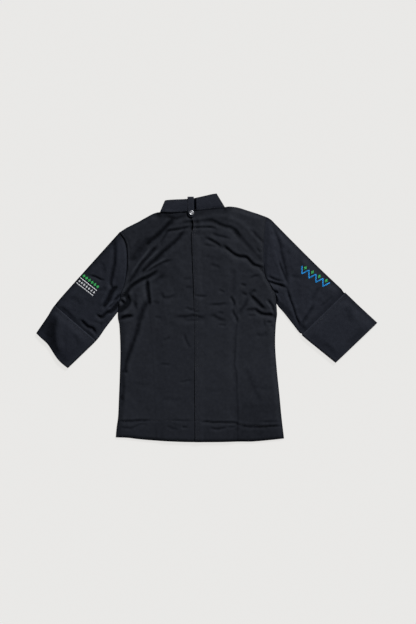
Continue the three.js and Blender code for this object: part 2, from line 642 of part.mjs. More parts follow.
function collar() {
  const group = new THREE.Group();
  const meeting = 0.5;
  const halfGap = 0.002;
  group.add(
    collarBack(),
    collarFront("collar_front_left", 0, meeting - halfGap),
    collarFront("collar_front_right", meeting + halfGap, 1),
    apronTab(),
    neckStud(),
  );
  return group;
}

function body() {
  const group = new THREE.Group();
  group.add(
    backPanel("back_left", LEFT),
    backPanel("back_right", RIGHT),
    withStudRecesses(frontPanel("front_left", LEFT)),
    frontPanel("front_right", RIGHT),
    ...frontStudPlaces.map(frontStud),
  );
  return group;
}

const jacket = new THREE.Group();
jacket.add(body(), arm("left", LEFT_ARM), arm("right", RIGHT_ARM), collar());

export default jacket;
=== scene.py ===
# A chef jacket of black twill that lies face down and smoothed flat, seen from straight above.
# Sizes are in millimetres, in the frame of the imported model, and become metres where a mesh is made.
import math

import bpy
import numpy as np
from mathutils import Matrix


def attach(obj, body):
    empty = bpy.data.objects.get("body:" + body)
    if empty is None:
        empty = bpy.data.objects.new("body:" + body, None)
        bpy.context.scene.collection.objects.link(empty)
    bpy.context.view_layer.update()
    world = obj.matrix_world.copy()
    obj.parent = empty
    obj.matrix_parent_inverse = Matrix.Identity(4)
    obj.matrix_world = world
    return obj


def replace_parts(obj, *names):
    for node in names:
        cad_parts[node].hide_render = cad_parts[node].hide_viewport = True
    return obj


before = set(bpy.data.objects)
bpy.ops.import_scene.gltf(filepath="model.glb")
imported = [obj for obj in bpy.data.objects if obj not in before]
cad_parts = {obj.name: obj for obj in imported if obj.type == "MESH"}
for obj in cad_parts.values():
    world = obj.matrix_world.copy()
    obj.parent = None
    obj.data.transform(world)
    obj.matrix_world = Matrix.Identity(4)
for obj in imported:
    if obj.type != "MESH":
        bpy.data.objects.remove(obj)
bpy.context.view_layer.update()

MM = 0.001
BODY = "root"

# Thickness of the cloth that shows
TWILL = 0.9  # one layer of twill with its nap
HEM_CLOTH = 1.44
CUFF_CLOTH = 1.2
COLLAR_CLOTH = 1.8
UNDER_CLOTH = 1.2  # fronts and lower sleeves
COLLAR_FRONT_CLOTH = 2.2

# Loft and creases
GRID = 3.0  # spacing of the points that carry the creases
UNDER_GRID = 5.0
FRONT_GRID = 4.0
EDGE_STEPS = (0.0, 0.4, 1.0, 1.9, 3.2)  # points lie closer together beside an edge, at these distances
HEM_STEPS = (0.0, 0.6, 1.4, 2.4, 3.6)
LOFT = 4.2  # how far the upper cloth stands off the lower cloth between creases
MOST_LOFT = 9.0
DEPTH = 1.3  # all creases are deepened by this
SHOULDER = 0.12  # cloth pushed out of a crease stands up on both sides of it, by this share of its depth
EDGE_FADE = 20.0  # the loft dies away over this width beside an edge
SLEEVE_FADE = 30.0
CUFF_FADE = 38.0
NECK_FADE = 44.0

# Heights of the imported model's layers
UPPER_WALL = 1.5
LOWER_WALL = 2.0
CUFF_WALL = 1.5
COLLAR_WALL = 2.5
TAB_WALL = 1.2
SEAM_GAP = 0.3
LAYER_GAP = 0.4
CUFF_LIFT = CUFF_WALL + SEAM_GAP
SLEEVE_BASE = LOWER_WALL + LAYER_GAP + UPPER_WALL
COLLAR_BACK_Z = COLLAR_WALL + TAB_WALL + 2 * SEAM_GAP + COLLAR_WALL

# The cut
FRONT_LAP = 75.0
FRONT_CENTRE_X = -30.0
FRONT_NECK_DROP = 14.0
BACK_LAP = 10.0
LAP_RAMP = 22.0
CUFF_INSET = 3.0
CUFF_LENGTH = 117.0
SLEEVE_LENGTH = 300.0
NECK_LEFT_X = -146.0
NECK_RIGHT_X = 55.0
COLLAR_LENGTH = 200.0
COLLAR_HEIGHT = 40.0
VENT_TOP = -154.0
SLIT = {"low": 268.0, "high": 319.0, "width": 5.5}  # the pleat that stands open below the collar
COLLAR_GAP = {"low": -37.4, "high": -37.7, "floor": 2.5, "top": 4.6, "depth": 3.6}
TAB_PRESS = {"x": -50.0, "y": 333.0, "inner": 12.0, "outer": 24.0}  # the tab holds the back down here
TAB_FOLD_Y = 384.4
STUD = {"x": -48.4, "y": 334.6, "z": 10.5, "wide": 1.08, "sides": 48}
FRONT_STUDS = {"count": 6, "inset": 18.0, "top_y": 300.0, "pitch": 112.0}
FRONT_STUD_DIMPLE = {"flat": 7.4, "rim": 11.0, "depth": 1.25}

# Sewing and stitched ornament
STITCH = {"length": 2.6, "gap": 0.7, "width": 0.55, "rise": 0.42}
SATIN = {"pitch": 0.62, "width": 0.72, "rise": 0.5}


def table(columns, rows):
    """A short table as one array for each named column."""
    return dict(zip(columns.split(), np.array(rows, float).T))


# Outlines of the body
LEFT_EDGE = table("y x", [
    (-382, -291), (-350, -288), (-318, -283.6), (-263, -281), (-183, -277.9), (-103, -276.2), (-23, -279.6),
    (-2, -284), (20, -284), (54, -279), (86, -269.5), (115, -260), (143, -255.8), (169, -253.3),
    (207, -253.3), (235, -257), (255, -264.8), (273.6, -278),
])
RIGHT_EDGE = table("y x", [
    (-386, 247.2), (-318, 239.2), (-250, 232.8), (-161, 223.8), (-87, 218.8), (-22, 221), (10, 225),
    (18, 224.8), (45.6, 222.6), (79, 217), (112, 198), (130, 187.5), (161, 182.9), (223, 181.9),
    (256, 182.8), (300, 187), (321.9, 191.4),
])
TOP_EDGE = table("x y", [
    (-278, 273.6), (-258, 286.8), (-238, 297.2), (-220, 306), (-199, 318), (-168, 334), (NECK_LEFT_X, 338),
    (-98, 337), (-47, 340), (4, 345.4), (NECK_RIGHT_X, 353), (70, 355.4), (90, 354), (108, 350.1),
    (127, 344), (146, 337.8), (166, 331.3), (191.4, 321.9),
])
HEM_EDGE = table("x y", [
    (-291, -382.4), (-255, -383.6), (-218, -388), (-180, -391.4), (-133, -394.4), (-65, -397), (26, -397.4),
    (106, -395.8), (146, -395.6), (204, -390.6), (247.2, -385.8),
])
CENTRE_BACK = table("y x", [
    (-398, -36.3), (-154, -38.2), (-39, -38.9), (66, -40.8), (198, -45), (278, -48.5), (306, -47.2),
    (345, -46.6),
])
# Outlines of the collar and of the flat sleeves, whose rings run from the armhole at 0 to the cuff at 1 and
# the cuff's folded end at 2
COLLAR_BASE = table("along x y", [
    (0, -149.5, 337.4), (0.25, -99, 336.4), (0.5, -47, 340.6), (0.75, 4, 345.4), (1, 61.5, 347.6),
])
COLLAR_TOP = table("along x y", [
    (0, -134.4, 373.4), (0.02, -131, 375.6), (0.2, -103.5, 377.8), (0.42, -63.2, 379.5), (0.57, -37.6, 383),
    (0.78, -5.6, 389.8), (0.93, 18, 395.2), (1, 31.4, 397),
])
LEFT_SLEEVE = table("ring outer_x outer_y inner_x inner_y", [
    (0, -278.6, 274.4, -284, 19.2), (0.33, -335.2, 211.2, -304, -6.6), (0.66, -405.2, 132.8, -326, -35.4),
    (1, -479.6, 48.4, -349.2, -68.4), (1.5, -510.6, 1.4, -396.2, -115.2), (2, -545.2, -49.2, -444, -161),
])
RIGHT_SLEEVE = table("ring outer_x outer_y inner_x inner_y", [
    (0, 191.4, 321.9, 222.6, 45), (0.05, 205.2, 313.9, 226.6, 39.8), (0.1, 216.4, 302.7, 230.4, 34.3),
    (0.33, 269.9, 248.3, 249, 13.3), (0.66, 352.3, 166.3, 275.9, -21.1), (1, 442.4, 80.8, 303.4, -55),
    (1.5, 489.3, 35.7, 355.6, -98.7), (2, 545.2, -16, 411.6, -144),
])
# Where the hem is stitched, and where the two long darts run
HEM_LINE = table("x y", [
    (-290, -330), (-170, -328), (-36, -328), (42, -334), (106, -340), (170, -345), (246, -345),
])
LEFT_DART = table("y x", [
    (-380, -162), (-314, -164), (-148, -172), (-39, -178.4), (47, -184.8), (150, -186),
])
RIGHT_DART = table("y x", [
    (-374, 98), (-295, 99), (-231, 95.5), (-175, 95), (-151, 88), (-103, 91), (-46, 93.5), (6, 96.8),
    (60, 88),
])

# Creases. Each follows the dark side of a fold through the points given. It reaches to the left of that
# line and to the right by the widths given, and rises by height, or sinks where height is negative.
# crisp is 0 for a soft roll and 1 for a pressed line.
# Columns: height, left, right, crisp, points (x, y).
BACK_CREASES = [
    # Right shoulder blade: two long arcs from the neck to the armhole, and smaller lines between them
    (-2.6, 8, 13, 0.2, [(-90, 298), (-62, 308), (-42, 309), (-19, 309), (0, 312), (15, 312), (30, 306),
        (43, 299), (59, 293), (75, 290), (88, 281), (101, 267), (114, 253)]),
    (-1.8, 12, 20, 0, [(80, 292), (92, 280), (102, 266), (114, 252), (124, 239), (137, 225), (150, 210),
        (163, 196), (186, 170)]),
    (-2.8, 6, 12, 0.3, [(-12, 260), (13, 249), (29, 240), (43, 230), (58, 224)]),
    (-3.7, 7, 12, 0.3, [(46, 236), (59, 228), (72, 216.7), (86, 205), (100, 198.4), (112, 196.5),
        (120, 196), (130, 192), (141, 179.7), (150, 171.7), (161, 167.3), (173, 163.8), (186, 160),
        (198, 152)]),
    (1, 14, 12, 0, [(96, 253), (125, 222), (150, 200), (174, 178)]),
    (1, 16, 12, 0, [(-6, 331), (60, 322), (110, 300), (150, 262), (178, 230)]),
    (-2.8, 5, 8, 0.6, [(-58, 289), (-44, 289), (-20, 289), (0, 290), (15, 289), (28, 284), (38, 275)]),
    (-1.8, 5, 9, 0.4, [(12, 274), (29, 265.5), (45, 261), (61, 257.5), (80, 250)]),
    (-2.2, 8, 12, 0.2, [(134, 286), (150, 273), (163, 259), (175, 248), (192, 235)]),
    (-1.6, 6, 10, 0.3, [(158, 225), (166, 216), (176, 206)]),
    (-1.4, 6, 9, 0.3, [(-14, 235), (10, 231), (38, 226)]),
    (-1, 6, 12, 0.2, [(0, 173), (22, 168), (50, 158)]),
    (-0.6, 7, 12, 0.2, [(-15, 200), (17, 193), (52, 184)]),
    (-1.6, 6, 8, 0.3, [(133, 122), (150, 132.7), (171, 134)]),
    (-1.8, 6, 9, 0.3, [(105, 108), (115, 106), (128, 100)]),
    (-2.6, 6, 9, 0.4, [(166, 162), (176, 153), (184, 145), (190, 132)]),
    # Left shoulder blade, drawn down towards the underarm
    (-4.5, 9, 14, 0.2, [(-200, 226), (-190, 240), (-176, 252), (-160, 265), (-144, 279), (-132, 292),
        (-120, 306), (-102, 324)]),
    (-2.6, 18, 22, 0, [(-250, 166), (-238, 190), (-222, 214), (-202, 240), (-180, 262)]),
    (-3, 6, 8, 0.3, [(-156, 226), (-149, 240), (-141, 253), (-133, 267), (-124, 277), (-105, 281),
        (-86, 284), (-66, 289), (-44, 293)]),
    (-4.6, 8, 12, 0.3, [(-219, 136), (-205, 150), (-193, 161.5), (-182, 173), (-170, 182), (-159, 193.5),
        (-148, 205), (-136, 216), (-122, 228), (-109, 239), (-97, 250.6), (-84, 266.6), (-70, 284)]),
    (-3.8, 7, 10, 0.3, [(-258, 96), (-248, 116), (-237, 132), (-228, 148), (-216, 164), (-205, 180),
        (-189, 198), (-156, 235)]),
    (-2.2, 5, 10, 0.4, [(-200, 138), (-193, 145.5), (-175, 157), (-157, 168), (-138, 178.6), (-102, 187)]),
    (-7, 7, 9, 0.5, [(-290, 56), (-275, 67), (-263, 78), (-251, 92), (-239, 104), (-222, 116), (-204, 125),
        (-190, 131), (-174, 141), (-154, 154)]),
    (-1.8, 8, 12, 0.2, [(-180, 105), (-166, 114), (-157, 125), (-143, 132), (-132, 137)]),
    (2.4, 7, 7, 0, [(-246, 128), (-228, 158), (-205, 190), (-178, 225)]),
    (1.8, 6, 6, 0, [(-207, 163), (-190, 182), (-170, 200), (-150, 222)]),
    (2.2, 7, 7, 0, [(-207, 137), (-175, 164), (-143, 182), (-126, 193)]),
    (-1.2, 7, 10, 0.2, [(-244, 212), (-228, 232), (-214, 254)]),
    (-3, 6, 9, 0.3, [(-140, 329), (-122, 325), (-106, 321), (-96, 319.5), (-84, 323), (-66, 328)]),
    (-1.3, 12, 14, 0, [(-30, 330), (-28, 304), (-27, 272), (-28, 246)]),
    (-2, 5, 9, 0.2, [(-49, 326), (-50, 306), (-51, 286), (-52, 264)]),
    # Left waist: a deep pressed pleat over the dart, and a long soft fold below it
    (-8.4, 7, 9, 0.3, [(-190, 126), (-189, 113), (-188, 100), (-187, 84), (-185, 68), (-179, 34)]),
    (0.8, 12, 12, 0, [(-222, 112), (-210, 90), (-206, 66), (-212, 36)]),
    (-2, 12, 14, 0, [(-234, 84), (-229, 66), (-227, 46), (-232, 22)]),
    (-4, 10, 15, 0.1, [(-184, 62), (-190, 44), (-198, 31), (-203, 18), (-209, 2), (-214, -14), (-219, -35),
        (-224, -53), (-230, -71), (-236, -88), (-241, -103), (-250, -127), (-258, -151), (-262, -186)]),
    (-2.2, 9, 10, 0.2, [(-264, -160), (-267, -190), (-266, -223), (-269, -255), (-270, -280),
        (-274, -302)]),
    (-2.6, 7, 8, 0.3, [(-276, -167), (-262, -171), (-251, -172)]),
    (-2.4, 8, 8, 0.2, [(-272, -243), (-269, -255), (-268, -268)]),
    (-10.4, 11, 12, 0.2, [(-260, 86), (-253, 68), (-248, 53), (-250, 43), (-258, 35), (-268, 25),
        (-286, 8)]),
    (-6.6, 7, 9, 0.3, [(-284, 72), (-276, 61), (-268, 53), (-258, 43)]),
    (-7, 7, 9, 0.3, [(-277, 70), (-281, 52), (-283, 38), (-280, 20)]),
    (-6, 7, 10, 0.4, [(-292, -6), (-274, -1), (-262, 5), (-248, 6.8), (-228, 5)]),
    (-3.4, 6, 8, 0.3, [(-262, 108), (-270, 96), (-282, 84), (-292, 74)]),
    (-3.6, 5, 6, 0.3, [(-246, 88), (-258, 74), (-268, 64)]),
    (-4, 5, 8, 0.4, [(-276, 268), (-264, 250), (-258, 232), (-255, 208), (-254, 184), (-254, 158),
        (-258, 130)]),
    (-2.2, 8, 10, 0.2, [(-240, 64), (-232, 50), (-226, 36), (-226, 18)]),
    # Centre and waist
    (-1.6, 7, 12, 0.2, [(-158, 78), (-143, 75), (-138, 66), (-120, 66), (-106, 72), (-95, 86)]),
    (-1.4, 8, 12, 0.2, [(-176, 56), (-160, 51), (-146, 49)]),
    (-1.2, 5, 8, 0.3, [(-168, 5), (-156, 2), (-143, 3)]),
    (-1.2, 7, 10, 0.2, [(-82, 124), (-62, 126), (-46, 122)]),
    (-1.4, 7, 10, 0.2, [(-72, 94), (-58, 98), (-44, 94)]),
    (-1.6, 5, 8, 0.4, [(-74, 29), (-60, 31), (-50, 26), (-36, 28)]),
    (-1.4, 4, 7, 0.4, [(-46, 21), (-34, 20), (-20, 20)]),
    (-2.2, 8, 18, 0.3, [(-110, 4), (-85, 4), (-60, 5), (-40, 8), (-20, 2), (2, -1)]),
    (-1.8, 7, 14, 0.3, [(6, 5), (22, 7), (38, -2), (50, -6), (64, -8)]),
    (-1.4, 5, 8, 0.3, [(-77, -7), (-50, -8), (-18, -6)]),
    (-1.8, 5, 9, 0.3, [(-44, 72.5), (-20, 70), (6, 70)]),
    (-1.8, 6, 12, 0.3, [(0, 40.5), (22, 43.5), (38, 44), (56, 46), (74, 39)]),
    (-1.2, 5, 8, 0.3, [(30, 16), (42, 17), (57, 15)]),
    (-1.4, 5, 8, 0.3, [(34, -21), (48, -22), (64, -25)]),
    (-1.4, 5, 8, 0.3, [(38, 92), (48, 86), (59, 80)]),
    (-1.7, 7, 8, 0.3, [(-73, -47), (-67, -67), (-60, -82), (-50, -101)]),
    (-1.2, 8, 10, 0.2, [(-144, -70), (-129, -67), (-117, -60)]),
    (-1.2, 5, 9, 0.2, [(-154, -147), (-135, -147), (-113, -150)]),
    (-1.2, 5, 8, 0.3, [(-94, -203), (-78, -204), (-62, -200), (-44, -200)]),
    (-0.5, 9, 16, 0.1, [(-240, -208), (-205, -212), (-176, -209)]),
    (-0.8, 9, 16, 0.1, [(-150, -262), (-118, -258), (-84, -264)]),
    (-0.4, 9, 16, 0.1, [(-20, -226), (22, -233), (66, -226)]),
    # Right waist: creases that meet at the dart, and a deep knot at the side
    (-1.1, 14, 16, 0, [(86, 164), (87, 136), (88, 108), (86, 85), (88, 58)]),
    (-3, 6, 8, 0.4, [(70, 69), (77, 66), (83.5, 57), (87.5, 46), (86, 36), (84, 27)]),
    (-2.8, 6, 8, 0.4, [(84, 32), (87, 15), (94, 2), (97, -11), (100, -22)]),
    (-2.8, 7, 9, 0.3, [(92, 0), (107, 24), (117, 38.5), (124, 52), (134, 72)]),
    (-2.4, 8, 10, 0.3, [(130, 72), (143, 82), (156, 93)]),
    (-1.8, 7, 9, 0.3, [(110, 82), (120, 77), (130, 70)]),
    (-4, 8, 14, 0.2, [(132, 80), (147, 67), (160, 54), (170, 43), (181, 33), (196, 22)]),
    (-4.2, 8, 12, 0.3, [(150, 36), (164, 21), (178, 14), (190, 12), (202, 11), (213, 9), (230, 3)]),
    (-3.4, 7, 9, 0.3, [(192, 62), (201, 50), (208, 40), (213, 30), (218, 14)]),
    (-4, 5, 6, 0.3, [(210, 44), (214.5, 33), (217.5, 20), (219, 6), (220, -8)]),
    (1.4, 8, 8, 0, [(184, 56), (197, 42), (212, 26)]),
    (-2, 7, 12, 0.2, [(120, 26), (142, 27.5), (166, 27)]),
    (-1.2, 5, 8, 0.2, [(129, 9), (145, 8), (162, 8)]),
    (-2, 6, 9, 0.3, [(187, -12), (200, -13), (213, -13)]),
    (-1.4, 6, 8, 0.3, [(184, -3), (185, -17), (187, -32)]),
    (-1.8, 6, 8, 0.3, [(200, -22), (210, -26), (218, -33)]),
    (-1.4, 9, 12, 0.2, [(156, -48), (174, -56), (192, -42)]),
    (-0.9, 14, 18, 0.1, [(122, -154), (129, -171), (141, -199), (153, -231), (169, -255), (178, -280)]),
    (-0.9, 6, 16, 0, [(97, -10), (91, -55), (89, -103), (89, -135), (86, -151), (92, -175), (94, -220)]),
    (-0.6, 6, 16, 0, [(91, -170), (94, -207), (93, -231), (95, -263), (97, -295), (97, -335), (96, -380)]),
    (-0.4, 9, 16, 0.1, [(140, -214), (176, -226), (222, -222)]),
    # Hem
    (-2.1, 6, 9, 0.5, [(-286, -329), (-251, -330), (-223, -328), (-200, -327), (-172, -327)]),
    (-1.2, 5, 8, 0.3, [(-284, -345), (-262, -350), (-239, -351), (-211, -339), (-180, -338)]),
    (-2.2, 5, 8, 0.5, [(-27, -330), (1, -331), (17, -333), (57, -333), (81, -333), (97, -337),
        (112, -344)]),
    (-2.2, 6, 8, 0.5, [(97, -340), (110, -343), (149, -347), (193, -346), (246, -343)]),
    (-2, 5, 7, 0.3, [(8, -346), (20, -352), (32, -355), (46, -353), (64, -349)]),
    (-1.2, 4, 6, 0.4, [(62, -347), (76, -347), (94, -347)]),
    (-2, 5, 6, 0.3, [(-80, -346), (-71, -348), (-62, -347)]),
    (-1.2, 6, 8, 0.2, [(-130, -342), (-112, -352), (-90, -357)]),
    (-1.2, 5, 7, 0.4, [(166, -330), (178, -331), (200, -331), (234, -330)]),
    (-0.9, 5, 8, 0.3, [(-112, -325), (-85, -327), (-60, -327), (-43, -326)]),
]
LEFT_SLEEVE_CREASES = [
    (-4, 8, 10, 0.2, [(-293, 262), (-291.6, 216), (-292.4, 187), (-296.4, 158), (-301, 135), (-305, 111),
        (-303, 97), (-298, 84)]),
    (0.6, 16, 16, 0, [(-276, 250), (-272, 200), (-275, 150), (-281, 105)]),
    (-9.6, 9, 10, 0.3, [(-280, 100), (-291, 92), (-300, 83), (-306, 73), (-310, 62), (-316, 51),
        (-332, 24)]),
    (-2.6, 4.5, 8, 0.5, [(-383, 139), (-368, 135), (-355, 132), (-337.5, 123), (-320, 120)]),
    (-5.4, 7, 9, 0.3, [(-356, 16), (-344, 6), (-334.5, 4), (-321, 15), (-303, 25), (-291, 38.7),
        (-272, 54)]),
    (-4.4, 6, 8, 0.3, [(-308, 46), (-294, 58), (-280, 70), (-262, 86)]),
    (-3, 5, 7, 0.3, [(-318, 28), (-304, 42), (-290, 54)]),
    (-8, 7, 9, 0.3, [(-314, 10), (-301, 26), (-292, 37), (-278, 56)]),
    (2.6, 6, 6, 0.2, [(-332, 20), (-305, 45), (-286, 70)]),
    (-4, 8, 12, 0.3, [(-414, -5), (-400, -9), (-393, -14), (-378, -28), (-364, -32), (-355, -46),
        (-348, -60)]),
    (-2.6, 6, 7, 0.3, [(-374, -50), (-364, -60), (-352, -68)]),
    (-1.4, 7, 8, 0.2, [(-338, -12), (-336, -25), (-337, -40)]),
    (-1.8, 10, 8, 0.2, [(-472, 40), (-451, 24), (-436, 7), (-416, -8)]),
    (-1.2, 9, 12, 0.2, [(-350, 85), (-334, 92), (-320, 99)]),
    (-1, 12, 14, 0.1, [(-340, 186), (-326, 160), (-330, 132)]),
    (-0.9, 12, 16, 0.1, [(-452, 66), (-420, 62), (-392, 40)]),
]
RIGHT_SLEEVE_CREASES = [
    (-1.9, 9, 10, 0.2, [(214, 300), (219, 277.6), (226.6, 258), (234.6, 229.6), (240, 204), (246, 178),
        (252, 153), (259, 98)]),
    (-2.6, 6, 7, 0.4, [(257, 102), (260, 82), (266.6, 60), (274.6, 37.6), (281, 18.4), (287.4, -1),
        (294, -17), (298, -38)]),
    (-2, 5, 6, 0.3, [(230, 190), (239.4, 159), (250.6, 127), (255, 108)]),
    (-4.6, 6, 9, 0.5, [(186, 121), (196, 117), (209, 114), (228, 108), (247, 100), (260, 92)]),
    (-2.6, 7, 8, 0.3, [(193, 136), (203, 130), (212, 125), (231, 119), (246, 117)]),
    (-4.2, 7, 8, 0.3, [(210, 87), (222, 82), (231, 81)]),
    (-4, 6, 7, 0.4, [(217, 80), (221.5, 66), (223.4, 50), (223, 42)]),
    (-1.6, 7, 10, 0.2, [(325, 50), (340, 70), (350, 88), (362, 102)]),
    (-3, 7, 10, 0.3, [(294, -33), (308, -10), (321, 12), (334, 31), (344, 44)]),
    (-1.4, 6, 9, 0.2, [(356, 28), (379, 50), (406, 75)]),
    (-1.6, 10, 10, 0.2, [(294, -18), (306, -28), (314, -36), (324, -46)]),
    (0.7, 14, 12, 0, [(204, 270), (212, 220), (222, 180), (232, 150)]),
    (-1, 12, 14, 0.1, [(292, 214), (302, 180), (300, 150)]),
    (-1.2, 9, 14, 0.2, [(268, 140), (286, 132), (306, 134)]),
]
LEFT_CUFF_CREASES = [
    (-1.5, 34, 40, 0, [(-478, -92), (-456, -124), (-438, -150)]),
    (-1.6, 30, 34, 0, [(-512, 0), (-514, -40), (-510, -80), (-490, -118)]),
    (-4.4, 16, 40, 0.1, [(-481, 8), (-485, -5), (-487, -34), (-488, -69), (-482, -101), (-472, -128)]),
    (-1, 12, 16, 0.1, [(-430, -44), (-412, -74), (-404, -104)]),
]
RIGHT_CUFF_CREASES = [
    (-1.4, 16, 22, 0.1, [(452, 42), (456, 10), (460, -26)]),
    (-1, 12, 18, 0.1, [(440, -84), (470, -62), (498, -30)]),
    (-0.9, 10, 12, 0.2, [(372, -78), (392, -96), (408, -120)]),
]
# Soft hollows on the hidden side, which rests flat
FRONT_CREASES = [
    (0.8, 12, 18, 0.2, [(-250, 120), (-170, 84), (-96, 76)]),
    (0.7, 14, 20, 0.2, [(-262, -40), (-196, -66), (-120, -58)]),
    (0.9, 12, 16, 0.2, [(-190, 270), (-150, 210), (-134, 140)]),
    (0.5, 16, 20, 0.1, [(-240, -240), (-180, -262), (-104, -258)]),
    (0.9, 12, 18, 0.2, [(86, 262), (122, 204), (158, 162)]),
    (0.8, 12, 18, 0.2, [(72, 96), (132, 62), (202, 54)]),
    (0.6, 14, 20, 0.1, [(74, -92), (126, -120), (196, -112)]),
    (0.5, 14, 20, 0.1, [(70, -282), (128, -300), (206, -292)]),
    (0.7, 10, 14, 0.2, [(-340, 150), (-316, 108), (-308, 66)]),
    (0.6, 10, 14, 0.2, [(-440, 40), (-404, 6), (-380, -30)]),
    (0.7, 10, 14, 0.2, [(256, 196), (268, 140), (264, 84)]),
    (0.6, 10, 14, 0.2, [(344, 110), (356, 66), (352, 22)]),
]

# The halves of the body. proud is how high a half stands where the sleeve is sewn to it, as a share of
# the loft.
LEFT = dict(
    side="left", outward=-1, edge=LEFT_EDGE, underarm=20.0, shoulder=273.6,
    dart=LEFT_DART, dart_depth=0.35, proud=0.55,
)
RIGHT = dict(
    side="right", outward=1, edge=RIGHT_EDGE, underarm=45.6, shoulder=321.9,
    dart=RIGHT_DART, dart_depth=0.75, proud=0.4,
)
# The arms. wave bends the end of the cuff, grain is the direction of the yarns in degrees, cuff_edge is the
# ring where the turned-back cuff ends, sunk is the share of the loft left at the armhole, seam is how deep
# the armhole's groove is near the shoulder and how much shade is painted in it, tint scales the twill's
# colour and paints the right sleeve paler and the left one darker as painted light, and band is where the
# ornament is stitched.
LEFT_ARM = dict(
    side="left", half=LEFT, rings=LEFT_SLEEVE, creases=LEFT_SLEEVE_CREASES, cuff_creases=LEFT_CUFF_CREASES,
    wave=3.3, grain=50.0, cuff_edge=1.06, sunk=0.05, seam=1.3, tint=(0.91, 0.975, 1.01),
    band=dict(x=-397.0, y=137.0, turn=-38.0),
)
RIGHT_ARM = dict(
    side="right", half=RIGHT, rings=RIGHT_SLEEVE, creases=RIGHT_SLEEVE_CREASES,
    cuff_creases=RIGHT_CUFF_CREASES, wave=0.0, grain=-47.0, cuff_edge=1.0, sunk=0.4, seam=0.0,
    tint=(1.11, 1.17, 1.2), band=dict(x=298.0, y=156.0, turn=-31.0),
)


# Small mathematics

def mix(a, b, share):
    return a + (b - a) * share


def ease(start, end, value):
    """0 up to the start, 1 from the end on, and a smooth rise between them."""
    t = np.clip((value - start) / (end - start), 0, 1)
    return t * t * (3 - 2 * t)


def bell(distance, width):
    """1 in the middle, falling smoothly to almost nothing at twice the width."""
    return np.exp(-((distance / width) ** 2))


def rolled(distance, radius):
    """How far a rolled edge has dropped, from 1 at the edge itself to 0 at the radius."""
    inward = np.clip(1 - distance / radius, 0, 1)
    return 1 - np.sqrt(1 - inward**2)


def read(rows, key, column, at):
    """The value of a column at places along the key column, on a smooth curve through the rows."""
    keys, values = rows[key], rows[column]
    at = np.clip(at, keys[0], keys[-1])
    low = np.clip(np.searchsorted(keys, at, side="right") - 1, 0, len(keys) - 2)
    order = np.arange(len(keys))
    before, after = np.maximum(order - 1, 0), np.minimum(order + 1, len(keys) - 1)
    slopes = (values[after] - values[before]) / (keys[after] - keys[before])
    step = keys[low + 1] - keys[low]
    t = (at - keys[low]) / step
    start = values[low] * (1 + 2 * t) + slopes[low] * step * t
    end = values[low + 1] * (3 - 2 * t) + slopes[low + 1] * step * (t - 1)
    return start * (1 - t) ** 2 + end * t * t


def noise(x, y, size, seed):
    """Smooth noise between about -1 and 1 whose bumps are about as wide as size."""
    cells = 64
    angles = np.random.default_rng(seed).uniform(0, 2 * math.pi, (cells, cells))
    u, v = x / size + cells / 2, y / size + cells / 2
    i, j = np.floor(u).astype(int), np.floor(v).astype(int)
    fu, fv = u - i, v - j

    def corner(a, b):
        angle = angles[(i + a) % cells, (j + b) % cells]
        return np.cos(angle) * (fu - a) + np.sin(angle) * (fv - b)

    su = fu**3 * (fu * (fu * 6 - 15) + 10)
    sv = fv**3 * (fv * (fv * 6 - 15) + 10)
    return mix(mix(corner(0, 0), corner(1, 0), su), mix(corner(0, 1), corner(1, 1), su), sv) * 1.5


def smooth_path(points):
    """A denser line through the points of a crease, on a Catmull-Rom curve."""
    p = np.array(points, float)
    p = np.concatenate([[2 * p[0] - p[1]], p, [2 * p[-1] - p[-2]]])
    dense = []
    for a, b, c, d in zip(p, p[1:], p[2:], p[3:]):
        steps = max(2, int(math.dist(b, c) / 5))
        t = (np.arange(steps) / steps)[:, None]
        bend = (c - a) * t + (2 * a - 5 * b + 4 * c - d) * t**2 + (3 * b - a - 3 * c + d) * t**3
        dense.append(b + bend / 2)
    return np.concatenate([*dense, p[-2:-1]])


def one_crease(row, x, y):
    """The lift of one crease at a flat list of places."""
    height, left, right, crisp, points = row
    path = smooth_path(points)
    step = np.diff(path, axis=0)
    size = np.linalg.norm(step, axis=1)
    begun = np.concatenate([[0], np.cumsum(size)])
    way_x, way_y = (step / size[:, None]).T
    away_x, away_y = x[:, None] - path[:-1, 0], y[:, None] - path[:-1, 1]
    run = away_x * way_x + away_y * way_y
    aside = way_x * away_y - way_y * away_x
    over = run - np.clip(run, 0, size)
    nearest = (np.arange(len(x)), np.argmin(np.hypot(over, aside), axis=1))
    aside = aside[nearest] + (left / 4 if height < 0 else 0)
    along = (run + begun[:-1])[nearest]
    end = min(0.32 * begun[-1], 26)
    taper = ease(0, end, along) * ease(0, end, begun[-1] - along)
    reach = np.abs(aside) / np.where(aside > 0, left, right)
    inside = np.clip(reach, 0, 1)
    beside = np.clip((reach - 0.7) / 1.7, 0, 1)
    profile = mix((1 + np.cos(np.pi * inside)) / 2, (1 - inside) ** 2, crisp)
    return DEPTH * height * taper * (profile - SHOULDER * np.sin(np.pi * beside) ** 2)


def crease_height(creases, x, y):
    """How far a list of creases lifts or sinks the cloth. The lines waver a little, as real ones do."""
    flat_x = (x + 1.1 * noise(x, y, 30, 5)).reshape(-1)
    flat_y = (y + 1.1 * noise(x, y, 30, 6)).reshape(-1)
    total = np.zeros(flat_x.shape)
    for row in creases:
        margin = 2.6 * max(row[1], row[2])
        low, high = np.min(row[4], axis=0) - margin, np.max(row[4], axis=0) + margin
        near = (flat_x > low[0]) & (flat_x < high[0]) & (flat_y > low[1]) & (flat_y < high[1])
        if near.any():
            total[near] += one_crease(row, flat_x[near], flat_y[near])
    return total.reshape(np.shape(x))


def stand_off(fold, free):
    """How far the upper cloth stands off the lower one, where free is 0 if it is held down and 1 if not."""
    return np.maximum(0, MOST_LOFT * np.tanh((LOFT + fold) * free / MOST_LOFT))


def crease_tone(fold):
    """The shade painted into a crease and the highlight painted on a ridge, beside flat cloth, from -1 deep
    inside a crease to 1 on a high ridge.
    """
    return np.clip(np.where(fold < 0, fold / 6.2, fold / 4), -1, 1)


